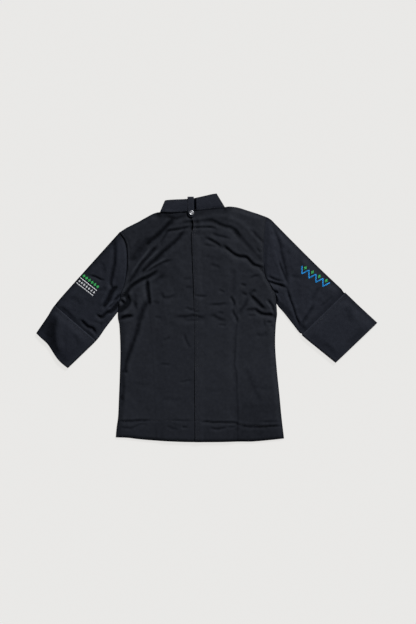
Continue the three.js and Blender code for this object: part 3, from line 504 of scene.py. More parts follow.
def rumple(x, y, seed):
    """The slight unevenness of cloth that was smoothed by hand."""
    lively = mix(0.5, 1, ease(-130, 30, y))
    broad = 0.8 * noise(x, y, 95, seed) + 0.6 * lively * noise(x, y, 42, seed + 1)
    return broad + lively * (0.6 * noise(x, y, 20, seed + 2) + 0.28 * noise(x, y, 10, seed + 3))


def spread(span, step, edges=EDGE_STEPS):
    """Shares from 0 to 1 at about the given step, closer together near both ends."""
    inner = np.linspace(edges[-1], span - edges[-1], max(2, round((span - 2 * edges[-1]) / step)))
    ends = np.array(edges[:-1])
    return np.concatenate([ends, inner, span - ends[::-1]]) / span


# Making meshes

def new_piece(name, vertices, faces, material):
    mesh = bpy.data.meshes.new(name)
    mesh.from_pydata((np.asarray(vertices) * MM).tolist(), [], faces)
    mesh.update()
    mesh.polygons.foreach_set("use_smooth", [True] * len(mesh.polygons))
    mesh.materials.append(material)
    piece = bpy.data.objects.new(name, mesh)
    bpy.context.scene.collection.objects.link(piece)
    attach(piece, BODY)
    return piece


def shell(name, node, outer, inner, painted_shading, material):
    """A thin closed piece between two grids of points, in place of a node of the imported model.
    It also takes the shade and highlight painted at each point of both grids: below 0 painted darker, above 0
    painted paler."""
    rows, columns = outer.shape[:2]
    cells = np.arange(rows * columns).reshape(rows, columns)
    outer, inner = outer.reshape(-1, 3), inner.reshape(-1, 3)
    across, up = outer[columns - 1] - outer[0], outer[-1] - outer[0]
    quads = np.stack([cells[:-1, :-1], cells[:-1, 1:], cells[1:, 1:], cells[1:, :-1]], axis=-1).reshape(-1, 4)
    rim = np.concatenate([cells[0, :-1], cells[:-1, -1], cells[-1, :0:-1], cells[:0:-1, 0]])
    following = np.roll(rim, -1)
    walls = np.stack([rim, rim + cells.size, following + cells.size, following], axis=-1)
    faces = np.concatenate([quads, (quads + cells.size)[:, ::-1], walls])
    if across[0] * up[1] < across[1] * up[0]:
        faces = faces[:, ::-1]
    piece = new_piece(name, np.concatenate([outer, inner]), faces.tolist(), material)
    # Painted shade and painted highlight, stored on each point for the twill's colour and shine
    layer = piece.data.attributes.new("painted_shading", "FLOAT", "POINT")
    layer.data.foreach_set("value", np.array(painted_shading, np.float32).reshape(-1))
    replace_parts(piece, node)


def cloth_shell(name, node, x, y, z, thickness, material, painted_shading=0):
    """A shell whose outer face is the grid x, y, z. Its inner face lies thickness below."""
    outer, inner = np.stack([x, y, z], axis=-1), np.stack([x, y, z - thickness], axis=-1)
    shell(name, node, outer, inner, [painted_shading + 0 * x, 0 * x], material)


def tube_faces(rings, sides):
    """Quads between neighbouring rings of points."""
    ring, k = np.mgrid[0 : rings - 1, 0:sides]
    a, b = ring * sides + k, ring * sides + (k + 1) % sides
    return np.stack([a, b, b + sides, a + sides], axis=-1).reshape(-1, 4).tolist()


def threads(name, starts, ends, size, material):
    """Short lengths of thread, each bowed up between the points where it enters the cloth."""
    sides = 6
    along = np.array([0.0, 0.14, 0.5, 0.86, 1.0])
    swell = np.array([0.35, 0.9, 1.0, 0.9, 0.35])
    lift = np.array([-0.75, 0.35, 0.6, 0.35, -0.75]) * size["rise"]
    up = np.array([0, 0, 1.0])
    axis = ends - starts
    side = np.cross(axis, up)
    side /= np.linalg.norm(side, axis=1, keepdims=True)
    angles = (np.arange(sides) * 2 * math.pi / sides)[:, None]
    spine = starts[:, None, :] + axis[:, None, :] * along[:, None] + lift[:, None] * up
    ring = side[:, None, None, :] * np.cos(angles) * size["width"] / 2
    ring = ring + up * np.sin(angles) * size["rise"] / 2
    points = spine[:, :, None, :] + ring * swell[:, None, None]
    last = (len(along) - 1) * sides
    one = tube_faces(len(along), sides) + [range(sides)[::-1], range(last, last + sides)]
    step = len(along) * sides
    faces = [[n * step + k for k in face] for n in range(len(starts)) for face in one]
    new_piece(name, points.reshape(-1, 3), faces, material)


def dashes(points, size):
    """Starts and ends of stitches along a row of points in space."""
    steps = np.linalg.norm(np.diff(points, axis=0), axis=1)
    travelled = np.concatenate([[0], np.cumsum(steps)])
    pitch = size["length"] + size["gap"]
    begin = np.arange(int((travelled[-1] + size["gap"]) / pitch)) * pitch
    return [
        np.stack([np.interp(distance, travelled, points[:, k]) for k in range(3)], axis=-1)
        for distance in (begin, begin + size["length"])
    ]


def turned(name, profile, centre, sides, material):
    """A closed turned piece. The profile is rows of radius and height, from the axis to the axis."""
    angles = np.arange(sides) * 2 * math.pi / sides
    points = [(0, 0, profile[0][1])]
    for radius, height in profile[1:-1]:
        points += [(radius * math.cos(a), radius * math.sin(a), height) for a in angles]
    points.append((0, 0, profile[-1][1]))
    end = len(points) - 1
    last = end - sides
    faces = [(0, 1 + (k + 1) % sides, 1 + k) for k in range(sides)]
    faces += [[1 + corner for corner in quad] for quad in tube_faces(len(profile) - 2, sides)]
    faces += [(last + k, last + (k + 1) % sides, end) for k in range(sides)]
    return new_piece(name, np.array(points) + centre, faces, material)


# Materials

class Nodes:
    """A short way to write a node tree."""

    def __init__(self, name):
        self.material = bpy.data.materials.new(name)
        self.material.use_nodes = True
        self.tree = self.material.node_tree
        self.shader = self.tree.nodes["Principled BSDF"]

    def set(self, node, socket, value):
        target = node.inputs[int(socket) if socket.isdigit() else socket.replace("_", " ")]
        if isinstance(value, bpy.types.NodeSocket):
            self.tree.links.new(value, target)
        else:
            target.default_value = value

    def add(self, kind, **inputs):
        node = self.tree.nodes.new("ShaderNode" + kind)
        for socket, value in inputs.items():
            self.set(node, socket, value)
        return node

    def place(self, turn=0.0, stretch=(1, 1, 1)):
        """Coordinates on the piece in metres, turned by an angle in degrees and stretched."""
        place = self.add("TexCoord").outputs["Object"]
        if turn or stretch != (1, 1, 1):
            turned_by = (0, 0, math.radians(turn))
            place = self.add("Mapping", Vector=place, Rotation=turned_by, Scale=stretch).outputs[0]
        return place

    def noise(self, place, scale, detail):
        return self.add("TexNoise", Vector=place, Scale=scale, Detail=detail).outputs["Fac"]

    def maths(self, operation, *values):
        node = self.add("Math")
        node.operation = operation
        for n, value in enumerate(values):
            self.set(node, str(n), value)
        return node.outputs[0]

    def total(self, tone, *shares):
        """The sum of a tone and the shares given of other values."""
        for value, share in shares:
            tone = self.maths("ADD", tone, self.maths("MULTIPLY", value, share))
        return tone

    def ramp(self, tone, *stops):
        """The colour of a tone between stops, each a position and a colour."""
        node = self.add("ValToRGB", Fac=tone)
        elements = node.color_ramp.elements
        for _ in stops[2:]:
            elements.new(0.5)
        for element, (position, colour) in zip(elements, stops):
            element.position = position
            element.color = (*colour, 1)
        return node.outputs[0]

    def bump(self, height, strength, distance):
        return self.add("Bump", Height=height, Strength=strength, Distance=distance).outputs[0]

    def look(self, **values):
        for socket, value in values.items():
            self.set(self.shader, socket, value)
        return self.material


# Colour ramp of the twill. The first stop is the near-black painted shade deep in creases; painted highlights
# on ridges move the colour towards the last.
TWILL_STOPS = (
    (0.02, (0.0022, 0.0026, 0.0042)),
    (0.22, (0.0072, 0.0081, 0.0126)),
    (0.95, (0.0222, 0.0242, 0.0342)),
)
RIB_PERIOD = 0.85  # one diagonal rib of the twill
WAVE_PERIOD = 2 * math.pi / 20  # a wave texture's period at scale 1, in its own units


def twill_material(name, grain, tint):
    """Black twill: diagonal ribs and uneven yarns, painted paler where it is raised and painted darker in
    creases, with its shine painted lower in creases too.
    """
    n = Nodes(name)
    place = n.place()
    ribs = n.add(
        "TexWave",
        Vector=n.place(grain + 45),
        Scale=WAVE_PERIOD / (RIB_PERIOD * MM),
        Distortion=1.2,
        Detail=2.0,
        Detail_Scale=1.5,
    ).outputs["Fac"]
    slubs = n.noise(n.place(grain, (1, 0.12, 1)), 1700.0, 2.0)
    fuzz = n.noise(place, 420.0, 4.0)
    cloud = n.noise(place, 16.0, 3.0)
    mottle = n.noise(place, 95.0, 3.0)
    # Painted shade in creases and painted highlight on ridges, read from the mesh
    painted_shading = n.add("Attribute")
    painted_shading.attribute_name = "painted_shading"
    painted_shading = painted_shading.outputs["Fac"]
    tone = n.maths("MULTIPLY_ADD", ribs, 0.2, -0.09)
    tone = n.total(tone, (slubs, 0.16), (fuzz, 0.12), (cloud, 0.3), (mottle, 0.46), (painted_shading, 0.5))
    stops = [(position, [c * t for c, t in zip(colour, tint)]) for position, colour in TWILL_STOPS]
    height = n.total(n.maths("MULTIPLY", ribs, 0.6), (slubs, 0.4))
    return n.look(
        Base_Color=n.ramp(tone, *stops),
        Roughness=n.maths("MULTIPLY_ADD", fuzz, 0.2, 0.64),
        Normal=n.bump(height, 0.55, 0.00022),
        # Painted shade on the shine: the specular level drops in creases
        Specular_IOR_Level=n.maths("MULTIPLY_ADD", painted_shading, 0.08, 0.14),
        Sheen_Weight=0.05,
        Sheen_Roughness=0.45,
        Sheen_Tint=(0.62, 0.68, 0.85, 1),
    )


def thread_material(name, colour, sheen):
    """Spun thread: fine twist lines along each stitch and small changes of tone."""
    n = Nodes(name)
    place = n.place()
    twist = n.add("TexWave", Vector=place, Scale=700.0, Distortion=3.0, Detail=2.0).outputs["Fac"]
    tone = n.total(n.maths("MULTIPLY", twist, 0.5), (n.noise(place, 260.0, 3.0), 0.5))
    return n.look(
        Base_Color=n.ramp(tone, (0.2, [c * 0.6 for c in colour]), (0.8, colour)),
        Roughness=0.5,
        Normal=n.bump(twist, 0.4, 0.0001),
        Specular_IOR_Level=0.35,
        Sheen_Weight=sheen,
    )


def metal_material():
    """A plated press stud: pale metal with fine turning marks and dulled patches."""
    n = Nodes("plated_metal")
    grain = n.noise(n.place(), 2600.0, 3.0)
    patch = n.noise(n.place(), 500.0, 2.0)
    return n.look(
        Base_Color=n.ramp(patch, (0.3, (0.45, 0.46, 0.48)), (0.7, (0.66, 0.66, 0.68))),
        Metallic=1.0,
        Roughness=n.maths("MULTIPLY_ADD", grain, 0.2, 0.38),
        Normal=n.bump(grain, 0.15, 0.00005),
    )


BODY_TWILL = twill_material("twill_body", 0, (1.125, 1.165, 1.09))
COLLAR_TWILL = twill_material("twill_collar", 98, (1.0, 1.065, 1.12))
for arm in (LEFT_ARM, RIGHT_ARM):
    arm["material"] = twill_material(f"twill_{arm['side']}_sleeve", arm["grain"], arm["tint"])
SEWING_THREAD = thread_material("black_thread", (0.020, 0.021, 0.026), 0.1)
GREEN_THREAD = thread_material("green_thread", (0.045, 0.55, 0.13), 0.1)
BLUE_THREAD = thread_material("blue_thread", (0.004, 0.38, 0.95), 0.05)
WHITE_THREAD = thread_material("white_thread", (0.9, 0.91, 0.94), 0.2)
METAL = metal_material()


# The body

def side_x(half, y):
    return read(half["edge"], "y", "x", y)


def centre_x(y):
    return read(CENTRE_BACK, "y", "x", y)


def body_grid(half, inner_x, top_drop, across_step, up_step, up_edges):
    """Places on a half of the body, between its side and the x of its inner edge."""
    edge = half["edge"]
    hem_y, shoulder_y = edge["y"][0], half["shoulder"]
    columns = spread(abs(edge["x"][0] - inner_x(hem_y)), across_step)
    u, v = np.meshgrid(columns, spread(shoulder_y - hem_y, up_step, up_edges))
    hem_x = mix(edge["x"][0], inner_x(hem_y), u)
    shoulder_x = mix(edge["x"][-1], inner_x(shoulder_y), u)
    top = read(TOP_EDGE, "x", "y", shoulder_x) - top_drop(shoulder_x)
    y = mix(read(HEM_EDGE, "x", "y", hem_x), top, v)
    return mix(side_x(half, y), inner_x(y), u), y


def front_drop(x):
    return FRONT_NECK_DROP * np.sin(np.pi * np.clip((x - NECK_LEFT_X) / (NECK_RIGHT_X - NECK_LEFT_X), 0, 1))


def resting_height(x):
    """Height of the fronts below the backs: two layers where they lap, one elsewhere."""
    single = LOWER_WALL + LAYER_GAP
    overlap = 2 * LOWER_WALL + SEAM_GAP + LAYER_GAP
    return mix(overlap, single, ease(FRONT_LAP + 20, FRONT_LAP + 60, np.abs(x - FRONT_CENTRE_X)))


def slit_opening(y):
    """How far the pleat at the top of the centre back stands open."""
    return SLIT["width"] * ease(SLIT["low"], 288, y) * (1 - ease(303, SLIT["high"], y))


def lap_height(y):
    """How far the lapped edge stands up: open above, sewn flat at the waist, loose at the vent."""
    waist = ease(-165, -145, y) * (1 - ease(20, 110, y))
    return mix(mix(1.5, 3, ease(-150, 60, y)), 0.8, waist) * (1 - 0.8 * ease(304, 320, y))


def back_edge_x(y):
    """The free edge of the right back, which laps over the left back."""
    return centre_x(y) + slit_opening(y) + 0.5 * noise(y * 0 + 9, y, 30, 31)


def right_centre(x, y):
    """How much the right back rises at its lapped edge, and the shade painted away from it: darker over its
    lower right, and a little paler in a band below the waist.
    """
    edge = np.abs(x - back_edge_x(y))
    rise = lap_height(y) * (1 - ease(BACK_LAP, BACK_LAP + LAP_RAMP, edge))
    rise = rise + 0.7 * bell(edge, 3) * (1 - ease(VENT_TOP - 30, VENT_TOP + 10, y))
    rise = rise - 0.35 * bell(edge - 2.2, 1.6) - 0.3 * bell(edge - 10, 1.8) + 0.25 * bell(edge - 6, 3)
    return rise, 0.22 * ease(40, 130, x) * (1 - ease(-300, -230, y)) - 0.12 * bell(y + 130, 60)


def left_centre(x, y):
    """How far the left back sinks below the lap and in the open pleat, and the shade painted in the pleat's
    opening and over its upper part away from the centre.
    """
    centre = x - centre_x(y)
    slit = ease(270, 286, y) * (1 - ease(306, 318, y))
    sink = 0.5 * ease(-4, 1, centre) + 3.4 * bell(centre - 3, 6) * slit
    return -sink, 1.1 * bell(centre - 3, 3.4) * slit + 0.16 * ease(70, 150, y) * ease(30, 60, -centre)


def dart_crease(half, x, y):
    """How much a back rises beside its dart, and the shade painted along the dart's pressed line."""
    dart = x - read(half["dart"], "y", "x", y)
    top_y = half["dart"]["y"][-1]
    depth = half["dart_depth"] * ease(top_y + 4, top_y - 40, y)
    pressed = bell(dart, 1.8) * (0.6 + 0.25 * noise(x * 0 + 3, y, 22, 41))
    rise = 0.35 * ease(0, 2, dart) * (1 - ease(6, 13, dart)) - pressed
    return depth * rise, 0.3 * depth * bell(dart, 2.2)


def back_shape(half, x, y):
    """Height of a back's outer face, and the shade and highlight painted on it."""
    side = np.abs(x - side_x(half, y))
    top = read(TOP_EDGE, "x", "y", x) - y
    hem = y - read(HEM_EDGE, "x", "y", x)
    line = read(HEM_LINE, "x", "y", x) - y
    closed = 1 - ease(half["underarm"] - 20, half["underarm"] + 30, y)
    shoulder = 1 - ease(NECK_LEFT_X - 4, NECK_LEFT_X, x) * (1 - ease(NECK_RIGHT_X, NECK_RIGHT_X + 4, x))
    by_neck = ease(NECK_LEFT_X - 30, NECK_LEFT_X, x) * (1 - ease(NECK_RIGHT_X, NECK_RIGHT_X + 30, x))
    # Where the cloth is free to rise, and its loft and creases there
    tab = ease(TAB_PRESS["inner"], TAB_PRESS["outer"], np.hypot(x - TAB_PRESS["x"], y - TAB_PRESS["y"]))
    settled = mix(half["proud"] + (1 - half["proud"]) * ease(0, 14, side), ease(0, EDGE_FADE, side), closed)
    free = settled * tab * ease(5 * by_neck, mix(EDGE_FADE, NECK_FADE, by_neck), top) * ease(-3, 12, hem)
    fold = crease_height(BACK_CREASES, x, y)
    rise, shade = (left_centre if half is LEFT else right_centre)(x, y)
    dart_rise, dart_shade = dart_crease(half, x, y)
    z = resting_height(x) + UPPER_WALL + stand_off(fold + rumple(x, y, 11), free) + rise + dart_rise
    # The stitched hem, and the puckers of the side seam
    in_hem = ease(-0.5, 2.5, line)
    pucker = noise(x, y * 0.25, 9, 51) * bell(line, 13) * 0.28 * ease(0, 14, side)
    z = z + 0.55 * in_hem - 0.55 * bell(line, 1.6) + pucker
    z = z + 0.3 * noise(x * 0.3, y, 10, 53) * bell(side - 6, 9) * closed
    # The stitched armhole, and edges that roll down to the surface
    seam = (1 - closed) * (1 if half is LEFT else 1 - 0.8 * ease(150, 175, y))
    z = z + seam * (0.5 * bell(side - 2.5, 3) - 0.5 * bell(side - 6.5, 1.2))
    neck = (1 - shoulder) * (0.5 + 1.1 * bell(x + 116, 26))
    roll = np.maximum(rolled(side, 5) * closed, rolled(top, 5) * shoulder)
    z = z - roll * 1.6 - neck * bell(top, 5) - 0.9 * rolled(hem, 6)
    # Painted shade: what is coloured darker than its height alone would make it, along the dart, the hem and
    # its stitching, the edges and under the collar
    shade = shade + dart_shade + 0.16 * in_hem + 0.4 * bell(line, 2) + 0.45 * bell(top, 13) * shoulder
    shade = shade + 0.35 * by_neck * bell(top - 6, 12) * (1 - ease(-20, 30, x))
    shade = shade + mix(0.25, 0.5, ease(-10, 20, x)) * bell(top - 14, 34) * by_neck
    shade = shade + 0.8 * bell(side, 3) * closed + 0.3 * bell(hem - 3, 4)
    return z, crease_tone(fold) * mix(0.75, 1, free) - shade


def make_back(half):
    side = half["side"]
    inner_x = back_edge_x if half is RIGHT else (lambda y: centre_x(y) + BACK_LAP)
    x, y = body_grid(half, inner_x, lambda x: 0, GRID, GRID, HEM_STEPS)
    z, painted_shading = back_shape(half, x, y)
    thickness = mix(TWILL, HEM_CLOTH, ease(-2, 2, read(HEM_LINE, "x", "y", x) - y))
    cloth_shell(f"{side}_back_cloth", f"back_{side}", x, y, z, thickness, BODY_TWILL, painted_shading)


def left_front_hollow(x, y):
    """How far the hidden side is hollowed above the surface it rests on, with a dimple round each stud."""
    hollow = np.maximum(0, crease_height(FRONT_CREASES, x, y) + 0.15 * noise(x, y, 50, 61))
    stud_x = FRONT_CENTRE_X + FRONT_LAP - FRONT_STUDS["inset"]
    dimple = FRONT_STUD_DIMPLE
    for n in range(FRONT_STUDS["count"]):
        reach = np.hypot(x - stud_x, y - FRONT_STUDS["top_y"] + FRONT_STUDS["pitch"] * n)
        hollow = np.maximum(hollow, dimple["depth"] * (1 - ease(dimple["flat"], dimple["rim"], reach)))
    return hollow


def right_front_hollow(x, y):
    """The right front lies on the left one and comes down to the surface beside it."""
    cover_x = FRONT_CENTRE_X + FRONT_LAP
    over = 1 - ease(cover_x + 8, cover_x + 40, x)
    return (LOWER_WALL + SEAM_GAP) * over + np.maximum(0, crease_height(FRONT_CREASES, x, y)) * (1 - over)


def make_front(half):
    side = half["side"]
    free_x = FRONT_CENTRE_X - half["outward"] * FRONT_LAP
    x, y = body_grid(half, lambda y: free_x + 0 * y, front_drop, FRONT_GRID, UNDER_GRID, EDGE_STEPS)
    hollow = left_front_hollow(x, y) if half is LEFT else right_front_hollow(x, y)
    z = hollow + 0.3 * rolled(np.abs(x - free_x), 1.2) + UNDER_CLOTH
    cloth_shell(f"{side}_front_cloth", f"front_{side}", x, y, z, UNDER_CLOTH, BODY_TWILL)


# The sleeves and cuffs

def sleeve_point(arm, across, ring):
    """A place on a flat sleeve, where across is 0 at its outer edge and 1 at its inner edge."""
    half, rings = arm["half"], arm["rings"]
    outer_x, outer_y, inner_x, inner_y = (read(rings, "ring", column, ring) for column in list(rings)[1:])
    armhole_y = mix(half["shoulder"], half["underarm"], across)
    straight = mix(rings["outer_x"][0], rings["inner_x"][0], across)
    bow = (side_x(half, armhole_y) - straight) * (1 - ease(0, 0.8, ring))
    swing = np.sin(2 * np.pi * across) * mix(0.35, 1, ease(0.1, 0.4, across))
    wave = arm["wave"] * swing * ease(1.4, 2, ring)
    return mix(outer_x, inner_x, across) + bow + wave, mix(outer_y, inner_y, across) + wave


def sleeve_width(arm, ring):
    outer_x, outer_y = sleeve_point(arm, ring * 0, ring)
    inner_x, inner_y = sleeve_point(arm, ring * 0 + 1, ring)
    return np.hypot(inner_x - outer_x, inner_y - outer_y)


def edge_tone(edge, across):
    """Painted light: a sleeve is painted darker along its outer edge and paler along its inner one, and
    darker still right at its edges.
    """
    return bell(edge, 13) * mix(-0.45, 0.3, ease(0.4, 0.6, across)) - 0.8 * bell(edge, 3)


def inside_cuff(arm, across, ring, start, end):
    """A place on a sleeve that narrows between two rings, to lie inside its turned-back cuff."""
    inset = CUFF_INSET * ease(start, end, ring) / sleeve_width(arm, ring)
    return sleeve_point(arm, mix(inset, 1 - inset, across), ring)


def sleeve_shape(arm, across, ring):
    """Place and height of the upper sleeve's outer face, and the shade and highlight painted on it."""
    cuff_edge = arm["cuff_edge"]
    x, y = inside_cuff(arm, across, ring, cuff_edge - 0.07, cuff_edge - 0.01)
    x = x + arm["half"]["outward"] * SEAM_GAP * (1 - ease(0, 0.03, ring))
    edge = np.minimum(across, 1 - across) * sleeve_width(arm, ring)
    in_cuff = ease(cuff_edge - 0.11, cuff_edge - 0.005, ring)
    seam = mix(arm["seam"], 1, ease(0.5, 0.62, across))
    free = ease(0, SLEEVE_FADE, edge) * mix(arm["sunk"], 1, ease(0, 0.07, ring)) * (1 - in_cuff)
    fold = crease_height(arm["creases"], x, y)
    z = SLEEVE_BASE + stand_off(fold + rumple(x, y, 71), free) + CUFF_LIFT * in_cuff
    z = z - 0.9 * seam * bell(ring, 0.012) - 1.6 * rolled(edge, 5)
    z = z + 0.3 * noise(x, y, 11, 73) * bell(edge - 6, 8)
    # Painted shade in the armhole seam and on the sleeve just before the cuff's edge
    painted_shading = crease_tone(fold) * mix(0.75, 1, free) - 1.2 * seam * bell(ring, 0.016) - 0.35 * in_cuff
    return x, y, z, painted_shading + edge_tone(edge, across)


def sleeve_grid(arm, step):
    rings = np.arange(0.02, 1.08, step / SLEEVE_LENGTH)
    rings = np.concatenate([[0, 0.002, 0.005, 0.01], rings, [1.12, 1.5, 1.97]])
    return np.meshgrid(spread(sleeve_width(arm, 0.2), step), rings)


def make_sleeve(arm):
    side, material = arm["side"], arm["material"]
    x, y, z, painted_shading = sleeve_shape(arm, *sleeve_grid(arm, GRID))
    cloth_shell(f"{side}_sleeve_back_cloth", f"sleeve_{side}_back", x, y, z, TWILL, material, painted_shading)
    across, ring = sleeve_grid(arm, UNDER_GRID)
    x, y = inside_cuff(arm, across, ring, 0.93, 0.99)
    hollow = np.maximum(0, crease_height(FRONT_CREASES, x, y)) * (1 - ease(0.86, 0.9, ring))
    z = hollow + CUFF_LIFT * ease(0.9, 0.985, ring) + UNDER_CLOTH
    cloth_shell(f"{side}_sleeve_front_cloth", f"sleeve_{side}_front", x, y, z, UNDER_CLOTH, material)


def cuff_shape(arm, across, ring):
    x, y = sleeve_point(arm, across, ring)
    edge = np.minimum(across, 1 - across) * sleeve_width(arm, ring)
    from_top, from_fold = (ring - arm["cuff_edge"]) * CUFF_LENGTH, (2 - ring) * CUFF_LENGTH
    free = ease(0, CUFF_FADE, edge) * ease(0, 26, from_top) * (0.5 + 0.5 * ease(0, 20, from_fold))
    fold = crease_height(arm["cuff_creases"], x, y)
    z = SLEEVE_BASE + CUFF_LIFT + SEAM_GAP + CUFF_WALL + stand_off(fold + rumple(x, y, 81) * 0.8, free)
    z = z - 3.6 * rolled(edge, 5) - 1.6 * rolled(from_fold, 4) - 0.7 * rolled(from_top, 2.6)
    z = z + 0.25 * noise(x, y, 12, 83) * bell(from_top - 5, 9)
    # Painted highlight along the cuff's turned top edge, added to the painted crease shading
    painted_shading = crease_tone(fold) * mix(0.5, 1, free) + 0.5 * bell(from_top, 2.4)
    return x, y, z, painted_shading + edge_tone(edge, across)


def cuff_grid(arm, start, across_step, step):
    rings = mix(start, 2, spread((2 - start) * CUFF_LENGTH, step))
    return np.meshgrid(spread(sleeve_width(arm, 1.5), across_step), rings)


def make_cuff(arm):
    side, material = arm["side"], arm["material"]
    x, y, z, painted_shading = cuff_shape(arm, *cuff_grid(arm, arm["cuff_edge"], GRID, GRID))
    cloth_shell(f"{side}_cuff_back_cloth", f"cuff_{side}_back", x, y, z, CUFF_CLOTH, material, painted_shading)
    x, y = sleeve_point(arm, *cuff_grid(arm, 1.0, UNDER_GRID, UNDER_GRID + 1))
    z = CUFF_WALL + 0 * x
    cloth_shell(f"{side}_cuff_front_cloth", f"cuff_{side}_front", x, y, z, CUFF_WALL, material)


# The collar, its tab and its stud

def collar_point(u, v, base_x, base_y):
    x = mix(base_x, read(COLLAR_TOP, "along", "x", u), v)
    return x, mix(base_y, read(COLLAR_TOP, "along", "y", u), v)


def collar_shape(u, v):
    """Place and height of the collar's back, where u runs along it and v up from the neck seam, and the shade
    painted on it.
    """
    x, y = collar_point(u, v, read(COLLAR_BASE, "along", "x", u), read(COLLAR_BASE, "along", "y", u))
    height, below_top = COLLAR_HEIGHT * v, COLLAR_HEIGHT * (1 - v)
    ends = np.minimum(u, 1 - u) * COLLAR_LENGTH
    crown = 1.2 * np.sin(np.pi * u) * np.sin(np.pi * v)
    from_gap = np.abs(x - mix(COLLAR_GAP["low"], COLLAR_GAP["high"], v))
    gap = COLLAR_GAP["depth"] * (1 - ease(COLLAR_GAP["floor"], COLLAR_GAP["top"], from_gap))
    z = COLLAR_BACK_Z + crown + 1.7 * bell(x + 62, 13) - gap
    z = z + 0.3 * noise(x, y, 36, 91) + 0.12 * noise(x, y, 12, 92)
    z = z - 0.3 * bell(below_top - 5, 1.5) - 0.3 * bell(ends - 5, 1.5)
    z = z - 0.8 * rolled(below_top, 2.6) - 0.8 * rolled(ends, 2.6) - 0.5 * rolled(height, 2)
    z = z + 2 * bell(height, 7) * bell(x + 120, 24) - 0.5 * ease(-20, 20, x) * (1 - ease(0, 11, height))
    # Painted shade at the collar's ends, in the gap beside the tab and along its lower edge, stronger on the
    # right
    right = ease(0, 22, x)
    base = mix(0.5, 0.8, right) * bell(height, mix(2, 7, right))
    return x, y, z, -0.6 * bell(ends, 3) - gap / 2 - base


def make_collar():
    ends = spread(COLLAR_LENGTH, 2.4)
    columns = np.concatenate([ends[ends < 0.487], np.linspace(0.49, 0.6, 26), ends[ends > 0.603]])
    x, y, z, painted_shading = collar_shape(*np.meshgrid(columns, spread(COLLAR_HEIGHT, 2.0)))
    cloth_shell("collar_back_band", "collar_back", x, y, z, COLLAR_CLOTH, COLLAR_TWILL, painted_shading)
    for side, start, end in (("left", 0.0, 0.498), ("right", 0.502, 1.0)):
        along = start + (end - start) * spread(COLLAR_LENGTH / 2, UNDER_GRID)
        u, v = np.meshgrid(along, spread(COLLAR_HEIGHT, UNDER_GRID))
        neck_x = mix(NECK_LEFT_X, NECK_RIGHT_X, u)
        neck_y = read(TOP_EDGE, "x", "y", neck_x) - front_drop(neck_x) + 4 * SEAM_GAP
        x, y = collar_point(u, v, neck_x, neck_y)
        z = COLLAR_FRONT_CLOTH + 0 * x
        name, node = f"collar_{side}_front_band", f"collar_front_{side}"
        cloth_shell(name, node, x, y, z, COLLAR_FRONT_CLOTH, COLLAR_TWILL)


# The tab comes up behind the collar, folds over its top edge and ends in a point below the stud.
TAB_LINE = table("s y z x half", [
    (0, 366, 3.4, -52, 10), (17, TAB_FOLD_Y - 1, 3.4, -51.6, 10), (20, TAB_FOLD_Y + 1.2, 4.4, -51.4, 10),
    (22.5, TAB_FOLD_Y + 1.8, 6.3, -51.4, 10), (25, TAB_FOLD_Y + 0.8, 8.2, -51.4, 10),
    (28, TAB_FOLD_Y - 2.2, 9.0, -51.4, 10), (46, 364, 9.6, -51.4, 10), (66, 344, 9.6, -51, 10),
    (80, 330.4, 9.5, -49.6, 10), (86, 324.6, 9.4, -49, 7.6), (90, 321.2, 9.3, -48.6, 3),
])


def tab_line(s, share):
    """A place on the middle of the tab's thickness: share is -1 at its left edge and 1 at its right."""
    x = read(TAB_LINE, "s", "x", s) + share * np.interp(s, TAB_LINE["s"], TAB_LINE["half"])
    return np.stack([x, read(TAB_LINE, "s", "y", s), read(TAB_LINE, "s", "z", s)], axis=-1)


def make_tab():
    lengths = np.concatenate([np.linspace(0, 79, 54), np.linspace(80, 90, 11)])
    s, share = np.meshgrid(lengths, [-1, -0.97, -0.9, -0.6, -0.2, 0.2, 0.6, 0.9, 0.97, 1], indexing="ij")
    run = tab_line(s + 0.5, share) - tab_line(s - 0.5, share)
    run /= np.linalg.norm(run, axis=-1, keepdims=True)
    out = np.stack([0 * s, run[..., 2], -run[..., 1]], axis=-1)
    rim = np.abs(share)
    half = TAB_WALL / 2 * (1 - 0.45 * ease(0.88, 1, rim)) - 0.12 * bell((1 - rim) * 10.5 - 2.4, 0.8)
    middle, half = tab_line(s, share), out * half[..., None]
    # Painted highlight along the tab's right edge
    painted_shading = 0.3 * (share > 0.93)
    shell("apron_tab_cloth", "apron_tab", middle + half, middle - half, [painted_shading, painted_shading], COLLAR_TWILL)


# Radius and height of the stud's cap, from the middle of its foot to the middle of its top
STUD_PROFILE = [
    (0, 0), (5.9, 0), (6.5, 0.2), (6.8, 0.6), (6.75, 1.05), (6.4, 1.5), (5.9, 1.78), (5.35, 1.85),
    (4.85, 1.75), (4.5, 1.5), (4.25, 1.15), (3.6, 0.98), (2.6, 0.94), (2.1, 1.0), (1.8, 1.3), (1.3, 1.52),
    (0.7, 1.6), (0, 1.62),
]


def make_stud():
    profile = [(radius * STUD["wide"], height) for radius, height in STUD_PROFILE]
    centre = (STUD["x"], STUD["y"], STUD["z"])
    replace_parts(turned("neck_stud_cap", profile, centre, STUD["sides"], METAL), "neck_stud")


# Sewing

def sew(name, lines, lift=0.05):
    """Topstitching along lines of points on the cloth."""
    starts, ends = zip(*[dashes(np.stack(line, axis=-1) + [0, 0, lift], STITCH) for line in lines])
    threads(name, np.concatenate(starts), np.concatenate(ends), STITCH, SEWING_THREAD)


